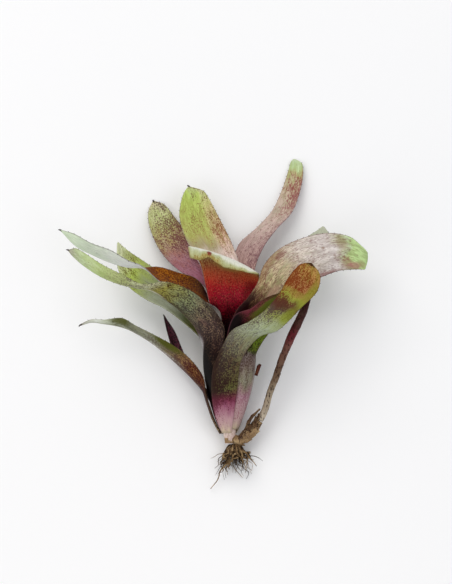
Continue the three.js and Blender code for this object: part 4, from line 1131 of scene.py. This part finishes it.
def solid_leaf(name, bm):
    """Gives the grid its thickness through a modifier, and returns the result as a new bmesh."""
    mesh = bpy.data.meshes.new(name + "_sheet")
    bm.to_mesh(mesh)
    across = [2 * loop.uv.y - 1 for loop in mesh.uv_layers["leaf"].data]
    bm.free()
    sheet = bpy.data.objects.new(name + "_sheet", mesh)
    bpy.context.scene.collection.objects.link(sheet)
    body = sheet.vertex_groups.new(name="body")
    for loop, v in zip(mesh.loops, across):
        body.add([loop.vertex_index], 1 - abs(v) ** MARGIN_POWER, "REPLACE")
    for _ in range(HORN_SLOT + 1):
        mesh.materials.append(HORN)  # only holds the slot open until the piece is handed over
    thick = sheet.modifiers.new("thick", "SOLIDIFY")
    thick.thickness = LEAF_THICKNESS * MM
    thick.offset = 0
    thick.vertex_group = "body"
    thick.thickness_vertex_group = MARGIN_THICKNESS
    thick.use_even_offset = True
    thick.material_offset = 1
    thick.material_offset_rim = 0
    graph = bpy.context.evaluated_depsgraph_get()
    solid = bmesh.new()
    solid.from_mesh(bpy.data.meshes.new_from_object(sheet.evaluated_get(graph)))
    bpy.data.objects.remove(sheet)
    return solid


print("thickness of midrib and margin in mm:", LEAF_THICKNESS, round(LEAF_THICKNESS * MARGIN_THICKNESS, 2))

# %% Spines along the margins
SPINE_STEP = 3.2
SPINE_LENGTH = 1.0
SPINE_RADIUS = 0.28
SPINE_SIDES = 5
SPINE_LEAN = 0.55
SPINE_POINT = 0.08
BARE_ROWS = 4  # no spine grows on these rows above the throat


def spine(bm, foot, outward, forward):
    """One marginal tooth: a small cone that leans towards the tip of the leaf."""
    length, radius = SPINE_LENGTH * MM, SPINE_RADIUS * MM
    aim = (outward + forward * SPINE_LEAN).normalized()
    turn = Vector((0, 0, 1)).rotation_difference(aim).to_matrix().to_4x4()
    centre = Matrix.Translation(foot + aim * (length / 2 - radius))
    cone = bmesh.ops.create_cone(
        bm, cap_ends=True, segments=SPINE_SIDES, radius1=radius, radius2=radius * SPINE_POINT,
        depth=length, matrix=centre @ turn)
    for face in {f for v in cone["verts"] for f in v.link_faces}:
        face.material_index = HORN_SLOT


def set_spines(bm, surface, rows, sheath_rows):
    """Sets spines into both margins at even steps, and counts them."""
    turn = TO_WORLD.to_3x3().normalized()
    count = 0
    for column, inner in ((0, 1), (COLUMNS, COLUMNS - 1)):
        travelled = 0.0
        for row in range(sheath_rows + BARE_ROWS, rows - 1):
            here = surface[row, column]
            travelled += (here - surface[row - 1, column]).length
            if travelled < SPINE_STEP:
                continue
            travelled = 0.0
            outward = (here - surface[row, inner]).normalized()
            forward = (surface[row + 1, column] - here).normalized()
            foot = TO_WORLD @ here
            foot.z = max(foot.z, FLOOR_LIFT)
            spine(bm, foot, turn @ outward, turn @ forward)
            count += 1
    return count


print("spines on 100 mm of margin:", round(100 / SPINE_STEP))

# %% A hook at the tip
HOOKED = (
    "leaf_top_left", "leaf_long_left", "leaf_front_left", "leaf_side_low", "leaf_top_middle",
    "leaf_side_spike")
HOOK_BEND = 0.8
HOOK_PATH = [(-0.8, 0.0), (0.5, 0.0), (1.3, 0.5), (1.7, 1.3)]  # millimetres onwards, share of the bend
HOOK_RADII = [0.5, 0.55, 0.38, 0.1]
HOOK_ROWS = 3
HOOK_CLEARANCE = 0.9


def hooked_tip(bm, surface, rows):
    """The dark point that ends a bromeliad leaf, bent over like a claw."""
    middle = COLUMNS // 2
    tip = surface[rows, middle]
    way = (tip - surface[rows - HOOK_ROWS, middle]).normalized()
    side = (surface[rows - HOOK_ROWS, COLUMNS] - surface[rows - HOOK_ROWS, 0]).normalized()
    down = way.cross(side).normalized() * HOOK_BEND
    path = [tip + way * onwards + down * bent for onwards, bent in HOOK_PATH]
    for spot in path:
        spot.z = max(spot.z, ground_z(spot.y) + HOOK_CLEARANCE)
    sweep(bm, path, HOOK_RADII, sides=8, material=HORN_SLOT, rough=0.2, seed=1)


print("leaves with a hook:", len(HOOKED))

# %% Grow every leaf
def grow_leaf(name, seed):
    """One whole leaf, from its arcs to its finished piece. Counts its spines."""
    arcs, sheath_rows = ROUTES[name]
    surface, rows = leaf_surface(name, arcs)
    bm = solid_leaf(name, leaf_grid(arcs, surface, rows, sheath_rows, seed))
    spines = set_spines(bm, surface, rows, sheath_rows) if LEAVES[name]["spines"] else 0
    if name in HOOKED:
        hooked_tip(bm, surface, rows)
    add_piece("fine_" + name, bm, leaf_skins(name, seed) + [HORN], name)
    return spines


total_spines = sum(grow_leaf(name, 1.0 + index) for index, name in enumerate(LEAVES))
print("marginal spines:", total_spines)

# %% [markdown]
# ## Bark, rind and dry skin
#
# Everything below the leaves is dry or corky plant skin. It is matt, because nothing waxy covers it,
# and mottled at two sizes, because it cracks and peels as it ages. One recipe makes all of them: a fine
# noise that is drawn out along the plant, a broad one over it, and darker specks in the fine one. The
# runner also changes from cream through brown to maroon along its length, so it reads an attribute of
# its mesh for that.

# %% Skins of the stem, the runner and the roots, and what each gives the eye
BARKS = {  # colours from dark to light, speck, grain in mm, roughness
    # young rind, still alive: cream and smooth, with a trace of pink
    "stem_rind": ([(0.2, "#dcbcb2"), (0.5, "#ecd8cc"), (0.8, "#f6ecdc")], "#c4a092", 1.2, 0.6),
    # corky bark of the thick rhizome: straw brown with darker scars
    "rhizome_bark": ([(0.2, "#745a40"), (0.5, "#aa8c66"), (0.8, "#d0b88e")], "#5c4430", 1.2, 0.7),
    # dead scale leaves: papery, dark and quite matt
    "dry_bract_skin": ([(0.2, "#3a261a"), (0.5, "#624834"), (0.8, "#a48862")], "#28180f", 0.8, 0.8),
    # old wiry root: near black, dull as peat
    "root_rind": ([(0.2, "#20140c"), (0.5, "#40301f"), (0.8, "#7c6246")], "#140c06", 0.7, 0.85),
    # young root: the same skin before it darkens, so it stands out among the old ones
    "young_root_rind": ([(0.2, "#5c4228"), (0.5, "#8f7450"), (0.8, "#c0a67c")], "#3c2818", 0.7, 0.8),
    # rind of the runner: brown with grey scurf, and a soft sheen where it is young
    "runner_rind": ([(0.2, "#2c1c14"), (0.5, "#6c5444"), (0.8, "#a8987c")], "#30180f", 1.1, 0.6),
    # a leaf that has dried up: thin, red-brown and brittle
    "dry_leaf_skin": ([(0.2, "#3c1a16"), (0.5, "#5a2c22"), (0.8, "#7c4c34")], "#240e0a", 0.8, 0.75),
}
RUNNER_ZONES = [
    (0.0, "#dccdb6"), (0.1, "#b4a48e"), (0.22, "#ac9c84"), (0.33, "#806a54"), (0.42, "#664e3c"),
    (0.55, "#704c40"), (0.68, "#742530"), (0.8, "#3c0a12"), (1.0, "#300a10")]
print("skins below the leaves:", len(BARKS))

# %% The recipe of a bark
STREAK_SQUEEZE = (1.0, 0.22, 1.0)  # grains are drawn out along the plant
BROAD_GRAIN = 6  # the broad mottling is this many grains wide
BARK_LOW, BARK_HIGH = 0.6, 1.4
SPECK_FROM, SPECK_FULL = 0.52, 0.6
ZONE_COVER = 0.85
BARK_HEIGHT = 0.0004
BARK_STRENGTH = 0.8
BARK_SHINE = 0.12


def bark_material(name, zones=()):
    """Dry plant skin: fibrous and matt, mottled, streaked along its length."""
    stops, speck, grain_mm, roughness = BARKS[name]
    material, tree = new_material(name)
    spot = add(tree, "TexCoord").outputs["Object"]
    drawn_out = add(tree, "Mapping", {"Vector": spot, "Scale": STREAK_SQUEEZE})
    fine = add(tree, "TexNoise", {
        "Vector": drawn_out, "Scale": 1 / (grain_mm * MM), "Detail": 5.0, "Roughness": 0.65})
    broad = add(tree, "TexNoise", {
        "Vector": spot, "Scale": 1 / (grain_mm * BROAD_GRAIN * MM), "Detail": 3.0})
    both = add(tree, "Math", {0: fine, 1: broad}, operation="ADD")
    level = add(tree, "MapRange", {"Value": both, "From Min": BARK_LOW, "From Max": BARK_HIGH})
    colour = add(tree, "ValToRGB", {"Fac": level}, stops=stops)
    if zones:
        share = add(tree, "Attribute", attribute_name="length_share").outputs["Fac"]
        zone = add(tree, "ValToRGB", {"Fac": share}, stops=zones)
        colour = add(tree, "Mix", {"Factor": ZONE_COVER, "A": colour, "B": zone}, data_type="RGBA")
    specks = add(tree, "MapRange", {"Value": fine, "From Min": SPECK_FROM, "From Max": SPECK_FULL})
    colour = add(tree, "Mix", {"Factor": specks, "A": colour, "B": linear(speck)}, data_type="RGBA")
    bump = add(tree, "Bump", {"Height": both, "Strength": BARK_STRENGTH, "Distance": BARK_HEIGHT})
    skin = add(tree, "BsdfPrincipled", {
        "Base Color": colour, "Roughness": roughness, "IOR": PLANT_IOR,
        "Specular IOR Level": BARK_SHINE, "Normal": bump})
    add(tree, "OutputMaterial", {"Surface": skin})
    return material


BARK = {name: bark_material(name, RUNNER_ZONES if name == "runner_rind" else ()) for name in BARKS}
print("barks:", ", ".join(BARK))

# %% [markdown]
# ## Stem, rhizome and runner
#
# Below the leaves sits the short stem, pale and knobby where old leaves broke off. A thick rhizome
# leaves it to the right, and from its end rises the runner that would carry a new plant. All of them
# are swept limbs with uneven skin. Dry bracts clasp the rhizome, and stiff fibres are left where some
# have rotted away. Each bract is a small grid bent round its limb and given a thickness.

# %% Seeded draws, and places along a limb
rng = random.Random(7)
NUDGE = 0.05  # the direction is taken between the points this far behind and ahead


def random_way():
    """A drawn vector that can point anywhere."""
    return Vector((rng.uniform(-1, 1), rng.uniform(-1, 1), rng.uniform(-1, 1)))


def path_spot(path, share):
    """Point and direction at a share of the way along a path."""
    points = [Vector(p) for p in path]
    place = share * (len(points) - 1)
    i = min(int(place), len(points) - 2)
    before = spline_point(points, i, max(place - i - NUDGE, 0.0))
    after = spline_point(points, i, min(place - i + NUDGE, 1.0))
    return spline_point(points, i, place - i), (after - before).normalized()


print("half way up a bent path:", list(path_spot([(0, 0, 0), (1, 0, 0), (1, 1, 0)], 0.5)[0]))

# %% One bract
BRACT_GRID = (10, 5)
BRACT_WALL_MM = 0.3
BRACT_RAGGED, BRACT_RAGS = 0.35, 5.0  # depth of the ragged rim, and how finely it is torn
BRACT_TAPER = 0.55
BRACT_SEAT, BRACT_GAP_MM = 1.04, 0.12
BRACT_FLARE = 1.5


def bract(bm, spot, way, facing, radius, length, lift, material, seed, wrap=2.1):
    """A dry scale leaf that clasps a limb: a flared half sleeve with a ragged rim."""
    out = (facing - way * facing.dot(way)).normalized()
    side = way.cross(out)
    columns, rows = BRACT_GRID
    grid = bmesh.ops.create_grid(bm, x_segments=columns, y_segments=rows, size=1)["verts"]
    for v in grid:
        around, along = v.co.x, (v.co.y + 1) / 2
        ragged = 1 + BRACT_RAGGED * noise.noise(Vector((around * BRACT_RAGS, seed, 0.0)))
        angle = around * wrap * (1 - BRACT_TAPER * along * around * around)
        swell = radius * (BRACT_SEAT + lift * along ** BRACT_FLARE) + BRACT_GAP_MM
        local = (out * math.cos(angle) + side * math.sin(angle)) * swell + way * along * length * ragged
        v.co = TO_WORLD @ (spot + local)
    sheet = {f for v in grid for f in v.link_faces}
    shell = bmesh.ops.solidify(bm, geom=list(sheet), thickness=BRACT_WALL_MM * MM)["geom"]
    for face in sheet | {g for g in shell if isinstance(g, bmesh.types.BMFace)}:
        face.material_index = material


print("wall of a bract in mm:", BRACT_WALL_MM)

# %% Bracts up a limb, and fibres
BRACT_STEP_MM = 2.6
BRACT_LENGTH_MM = 4.2
BRACT_SIZES = (0.7, 1.15)
BRACT_TURN = 0.5
FIBRE_BEND = 0.35
FIBRE_TAPER = (1.0, 0.8, 0.4)
FIBRE_SIDES = 5
FIBRE_ROUGH = 0.2


def clasp(bm, path, radii, first, last, facing, lift, material, seed, wrap):
    """Sets bracts one above the other along a limb, each a little turned from the last."""
    length = sum((Vector(b) - Vector(a)).length for a, b in zip(path, path[1:]))
    count = max(1, round(length * (last - first) / BRACT_STEP_MM))
    for i in range(count):
        share = first + (last - first) * i / count
        spot, way = path_spot(path, share)
        place = share * (len(radii) - 1)
        low = min(int(place), len(radii) - 2)
        radius = radii[low] + (radii[low + 1] - radii[low]) * (place - low)
        turned = Vector(facing) + random_way() * BRACT_TURN
        size = BRACT_LENGTH_MM * rng.uniform(*BRACT_SIZES)
        bract(bm, spot, way, turned, radius, size, lift, material, seed + i, wrap)


def fibre(bm, spot, way, length, radius, material, seed):
    """One stiff dry fibre, left by a rotted scale leaf."""
    bend = random_way() * FIBRE_BEND
    path = [spot, spot + way * length * 0.5, spot + (way + bend) * length]
    sweep(bm, path, [radius * part for part in FIBRE_TAPER], FIBRE_SIDES, material, FIBRE_ROUGH, seed)


print("bract step and length in mm:", BRACT_STEP_MM, BRACT_LENGTH_MM)

# %% Stem with its rhizome and stub
STEM_PATH = [(0, -1.5, 0), (0, 1.5, 0), (0, 4, 0), (0, 12, 0), (0, 21, 0), (0, 25, 0), (0, 26.8, 0)]
STEM_RADII = [2.6, 3.0, 3.8, 3.95, 3.95, 3.1, 0.6]
RHIZOME_PATH = [(1, 1.5, 0), (6.5, 0.6, 0), (11.3, 4.2, 0.4), (15.4, 8.4, 0.8), (18, 12.2, 1.1)]
RHIZOME_RADII = [2.6, 3.2, 3.4, 2.9, 2.4]
STUB_PATH = [(11.5, 5, 2), (11.2, 10.5, 3), (13.6, 14.6, 3.8), (18.5, 19.5, 4.5)]
STUB_RADII = [1.3, 1.2, 0.9, 0.5]
RIND_SLOT, BRACT_SLOT, BARK_SLOT = 0, 1, 2
STEM_LIMBS = [  # path, radii, sides, slot, roughness, seed
    (STEM_PATH, STEM_RADII, 28, RIND_SLOT, 0.08, 3),
    (RHIZOME_PATH, RHIZOME_RADII, 28, BARK_SLOT, 0.3, 5),
    (STUB_PATH, STUB_RADII, 12, BRACT_SLOT, 0.45, 8),
]
STEM_CLASPS = [  # path, radii, first and last share, facing, flare, slot, seed, wrap
    (STEM_PATH, STEM_RADII, 0.02, 0.14, (0.3, 0, 1), 0.1, BARK_SLOT, 2, 2.6),
    (RHIZOME_PATH, RHIZOME_RADII, 0.2, 0.95, (-0.8, 0.7, 0.5), 0.3, BRACT_SLOT, 6, 1.3),
    (RHIZOME_PATH, RHIZOME_RADII, 0.1, 0.7, (0.6, -0.5, 0.5), 0.08, BARK_SLOT, 16, 1.2),
]
FIBRE_COUNT = 46
FIBRE_SEAT = 2.7
FIBRE_LENGTH, FIBRE_RADIUS = (3, 6.5), (0.14, 0.3)


def make_stem():
    """Stem, rhizome and broken stub, dressed with bracts and fibres."""
    bm = bmesh.new()
    for limb in STEM_LIMBS:
        sweep(bm, *limb)
    for row in STEM_CLASPS:
        clasp(bm, *row)
    for index in range(FIBRE_COUNT):
        spot, way = path_spot(RHIZOME_PATH, rng.uniform(0.1, 0.95))
        side = Vector((rng.uniform(-1, 0.3), rng.uniform(-0.2, 1), rng.uniform(0, 1))).normalized()
        aim = (way + side * rng.uniform(0.1, 0.5)).normalized()
        length, radius = rng.uniform(*FIBRE_LENGTH), rng.uniform(*FIBRE_RADIUS)
        slot = BRACT_SLOT if index % 3 else BARK_SLOT
        fibre(bm, spot + side * FIBRE_SEAT, aim, length, radius, slot, index)
    skins = [BARK["stem_rind"], BARK["dry_bract_skin"], BARK["rhizome_bark"]]
    add_piece("fine_stem", bm, skins, "stem")


make_stem()
print("fibres on the rhizome:", FIBRE_COUNT)

# %% Runner with its leaf scars
RUNNER_PATH = [
    (18.3, 12.65, 1.15), (21.6, 19.2, 1.8), (24.1, 28, 2.6), (28, 39, 4), (32, 50, 6),
    (36, 60, 8.5), (40.5, 70, 11), (45, 79, 13), (48.5, 85.5, 14),
]
RUNNER_RADII = [2.2, 2.1, 2.0, 2.0, 2.1, 2.4, 2.7, 2.3, 0.6]
RUNNER_LEAN = Vector((0.45, 0.89, 0.09))
RUNNER_SCARS = [0.34, 0.46, 0.57, 0.68, 0.79]
SCAR_TURN = 2.4
SCAR_LIFT = 0.05


def make_runner():
    """The runner, with a close scale at each scar and a dry bract round its foot."""
    bm = bmesh.new()
    sweep(bm, RUNNER_PATH, RUNNER_RADII, 20, rough=0.12, seed=11)
    for index, share in enumerate(RUNNER_SCARS):
        spot, way = path_spot(RUNNER_PATH, share)
        facing = Vector((math.cos(index * SCAR_TURN), 0.0, math.sin(index * SCAR_TURN)))
        radius, length = 2.05 + 0.5 * max(share - 0.5, 0), 4.5 + 5 * share
        bract(bm, spot, way, facing, radius, length, SCAR_LIFT, 0, 30 + index)
    bract(bm, Vector(RUNNER_PATH[0]), RUNNER_LEAN, Vector((-1.0, 0.2, 0.4)), 2.15, 3.6, 0.25, 1, 41, 1.1)
    share = bm.verts.layers.float.new("length_share")
    low, high = TO_WORLD @ Vector(RUNNER_PATH[0]), TO_WORLD @ Vector(RUNNER_PATH[-1])
    for v in bm.verts:
        v[share] = (v.co.y - low.y) / (high.y - low.y)
    add_piece("fine_stolon", bm, [BARK["runner_rind"], BARK["dry_bract_skin"]], "stolon")


make_runner()
print("scars on the runner:", len(RUNNER_SCARS))

# %% [markdown]
# ## Roots
#
# The roots of a bromeliad are wiry and mostly there to hold on. They spring from the foot of the stem,
# run down over a small knob of old root and leave it at every side, kinked and uneven. One rule with a
# seeded draw makes them all: a start on the knob's shoulder, a way down over it, and then a kink at each
# step. A root that would dip under the floor is bent back up to lie on it. One long root trails away
# by itself.

# %% Way of one root
KNOB_CENTRE = Vector((3, -6.2, 0))
KNOB_RADII = Vector((4.6, 3.9, 6.2))
ROOT_COUNT = 74
THICK_ROOTS = 16
ROOT_KINKS = 4
ROOT_CLEARANCE = 1.2
ROOT_STAND = (0.1, 0.6)  # how far a root lies off the knob
ROOT_LEAVE = (0.35, 0.8)  # how far down the knob it lets go
THICK_LENGTH, THIN_LENGTH = (8, 16), (5, 20)
THICK_RADIUS, THIN_RADIUS = (0.55, 0.95), (0.2, 0.42)
SHOULDER_DEGREES, DROP_DEGREES = 62, 125
GOLDEN_TURN = math.radians(137.5)


def on_knob(turn, drop, stand):
    """A point over the knob: drop is 0 at its shoulder and 1 at its foot."""
    level = math.radians(SHOULDER_DEGREES - DROP_DEGREES * drop)
    reach = Vector((math.cos(turn) * math.cos(level), math.sin(level), math.sin(turn) * math.cos(level)))
    return KNOB_CENTRE + Vector([r * (k + stand) for r, k in zip(reach, KNOB_RADII)])


def root_path(index):
    """Down over the knob, then off it in kinked steps."""
    stand = rng.uniform(*ROOT_STAND)
    leave = rng.uniform(*ROOT_LEAVE)
    path = [on_knob(index * GOLDEN_TURN, leave * k / 2, stand) for k in range(3)]
    outward = (path[-1] - KNOB_CENTRE).normalized() * rng.uniform(0.3, 1.0)
    way = outward + Vector((0, -rng.uniform(0.4, 1.1), 0))
    length = rng.uniform(*(THICK_LENGTH if index < THICK_ROOTS else THIN_LENGTH))
    for _ in range(ROOT_KINKS):
        kink = Vector((rng.uniform(-1, 1), rng.uniform(-0.8, 0.7), rng.uniform(-1, 1)))
        path.append(path[-1] + (way + kink).normalized() * length / ROOT_KINKS)
    for spot in path:
        spot.z = max(spot.z, ground_z(spot.y) + ROOT_CLEARANCE)
    return path


print("shoulder of the knob in mm:", [round(c, 1) for c in on_knob(0, 0, 0)])

# %% Root knob and its roots
ROOT_TAPER = (1.0, 1.0, 0.95, 0.8, 0.65, 0.5, 0.28)
KNOB_TOP = -1.7
LUMP_DEPTH, LUMP_SCALE = 0.34, 2.3
WART_DEPTH, WART_SCALE = 0.16, 7.0
OLD_SLOT, YOUNG_SLOT = 0, 1
ROOT_SIDES = 7
ROOT_ROUGH = 0.45
TRAILING_PATH = [(0, -9, 2), (-2, -14, 3), (-5.5, -18, 2), (-7, -23, 3), (-11.5, -29, 2)]
TRAILING_RADII = [0.6, 0.5, 0.4, 0.32, 0.2]


def make_roots():
    """The knob of old root with its flat spot on the floor, and every root that leaves it."""
    bm = bmesh.new()
    knob = bmesh.ops.create_icosphere(bm, subdivisions=4, radius=1)["verts"]
    for v in knob:
        lump, wart = noise.noise(v.co * LUMP_SCALE), noise.noise(v.co * WART_SCALE)
        rough = 1 + LUMP_DEPTH * lump + WART_DEPTH * wart
        spot = Vector([c * r * rough for c, r in zip(v.co, KNOB_RADII)]) + KNOB_CENTRE
        spot.y = min(spot.y, KNOB_TOP)
        v.co = TO_WORLD @ spot
        v.co.z = max(v.co.z, 0.0)
    for index in range(ROOT_COUNT):
        path = root_path(index)
        thick = rng.uniform(*(THICK_RADIUS if index < THICK_ROOTS else THIN_RADIUS))
        slot = YOUNG_SLOT if index % 5 in (1, 3) else OLD_SLOT
        sweep(bm, path, [thick * part for part in ROOT_TAPER], ROOT_SIDES, slot, ROOT_ROUGH, index)
    sweep(bm, TRAILING_PATH, TRAILING_RADII, sides=6, material=YOUNG_SLOT, rough=0.3, seed=99)
    add_piece("fine_roots", bm, [BARK["root_rind"], BARK["young_root_rind"]], "roots")


make_roots()
print("roots:", ROOT_COUNT + 1)

# %% [markdown]
# ## Dry scale
#
# At the right of the sheaths stands the remnant of an old scale leaf, shrivelled to a short brown
# stalk with a torn sleeve round it. It is made as the limbs and bracts are: one swept stalk and one
# bract.

# %% Dry scale beside the sheaths
SCALE_PATH = [(15.9, 39.8, 4.5), (16.6, 42.5, 4.6), (17.3, 45, 4.8), (18, 46.8, 4.9)]
SCALE_RADII = [0.5, 0.8, 0.7, 0.3]
SCALE_WAY = Vector((0.29, 0.95, 0.06))
SCALE_FACING = Vector((0.6, 0, 1))


def make_scale():
    """A short shrivelled stalk in a torn sleeve."""
    bm = bmesh.new()
    sweep(bm, SCALE_PATH, SCALE_RADII, 12, rough=0.5, seed=21)
    bract(bm, Vector(SCALE_PATH[0]), SCALE_WAY, SCALE_FACING, 1.0, 7.4, 0.35, 0, 21, 1.3)
    add_piece("fine_dry_scale", bm, [BARK["dry_leaf_skin"]], "dry_scale")


make_scale()
print("thickest radius of the dry scale in mm:", max(SCALE_RADII))

# %% [markdown]
# ## Floor, light and camera
#
# The plant lies on a plain pale floor under large soft lights, so that its own colours lead. The
# camera looks straight down on the front of the laid plant, through a long lens that keeps the
# leaves' proportions, and its frame is set in millimetres at the depth of the stem.

# %% Floor
FLOOR_SIZE = 6.0


def make_floor():
    """Matt white card: it takes soft shadows and gives no reflection back."""
    bm = bmesh.new()
    bmesh.ops.create_grid(bm, x_segments=1, y_segments=1, size=FLOOR_SIZE / 2)
    mesh = bpy.data.meshes.new("floor")
    bm.to_mesh(mesh)
    bm.free()
    floor = bpy.data.objects.new("floor", mesh)
    bpy.context.scene.collection.objects.link(floor)
    material, tree = new_material("matt_white_card")
    spot = add(tree, "TexCoord").outputs["Object"]
    tone = add(tree, "TexNoise", {"Vector": spot, "Scale": 1.5, "Detail": 1.0})
    colour = add(tree, "ValToRGB", {"Fac": tone}, stops=[(0.3, "#f6f7f8"), (0.7, "#fafafa")])
    card = add(tree, "BsdfPrincipled", {"Base Color": colour, "Roughness": 0.9, "IOR": 1.45})
    add(tree, "OutputMaterial", {"Surface": card})
    mesh.materials.append(material)


make_floor()
print("floor in m:", FLOOR_SIZE)

# %% Camera
FRAME_HEIGHT_MM = 353.9
FRAME_CENTRE_MM = Vector((-2.1, 90.3, 0.0))
LENS_MM = 500.0
SENSOR_MM = 36.0
FAR_CLIP = 20.0


def make_camera():
    """Looks at the plant at right angles to its stem, from far away through a long lens."""
    data = bpy.data.cameras.new("camera")
    data.lens = LENS_MM
    data.sensor_width = SENSOR_MM
    data.clip_end = FAR_CLIP
    camera = bpy.data.objects.new("camera", data)
    bpy.context.scene.collection.objects.link(camera)
    reach = FRAME_HEIGHT_MM * LENS_MM / SENSOR_MM * MM
    front = TURN.to_3x3() @ Vector((0, 0, 1))
    up = TURN.to_3x3() @ Vector((0, 1, 0))
    turn = Matrix((up.cross(front), up, front)).transposed().to_4x4()
    camera.matrix_world = Matrix.Translation(TO_WORLD @ FRAME_CENTRE_MM + front * reach) @ turn
    bpy.context.scene.camera = camera
    print("camera distance in m:", round(reach, 3))


make_camera()

# %% Lights
LIGHTS = [  # name, place in m, size in m, power in W, colour
    ("key_softbox", (-0.5, 0.9, 1.5), 1.6, 16.0, "#fffaf4"),
    ("fill_softbox", (0.9, -0.5, 1.3), 1.2, 4.0, "#f4f8ff"),
    ("front_softbox", (-0.9, -0.9, 1.1), 1.0, 4.0, "#ffffff"),
]
SKY_COLOUR = "#fbfcff"
SKY_STRENGTH = 0.55


def make_lights():
    """Soft lights that all aim at the middle height of the plant, under a pale sky."""
    target = Vector((0, 0, (cad_box[0][2] + cad_box[1][2]) / 2))
    for name, place, size, power, colour in LIGHTS:
        data = bpy.data.lights.new(name, "AREA")
        data.size = size
        data.energy = power
        data.color = linear(colour)[:3]
        lamp = bpy.data.objects.new(name, data)
        lamp.location = place
        lamp.rotation_euler = (Vector(place) - target).to_track_quat("Z", "Y").to_euler()
        bpy.context.scene.collection.objects.link(lamp)
    world = bpy.data.worlds.new("studio")
    world.use_nodes = True
    sky = world.node_tree.nodes["Background"]
    sky.inputs["Color"].default_value = linear(SKY_COLOUR)
    sky.inputs["Strength"].default_value = SKY_STRENGTH
    bpy.context.scene.world = world
    bpy.context.scene.view_settings.view_transform = "Standard"


make_lights()
print("lights:", len(LIGHTS))

# %% Print the box of the frame
def as_lists(box):
    """A box of two corners as plain lists of numbers."""
    return [[float(c) for c in corner] for corner in box]


print("CAD box:", as_lists(cad_box))
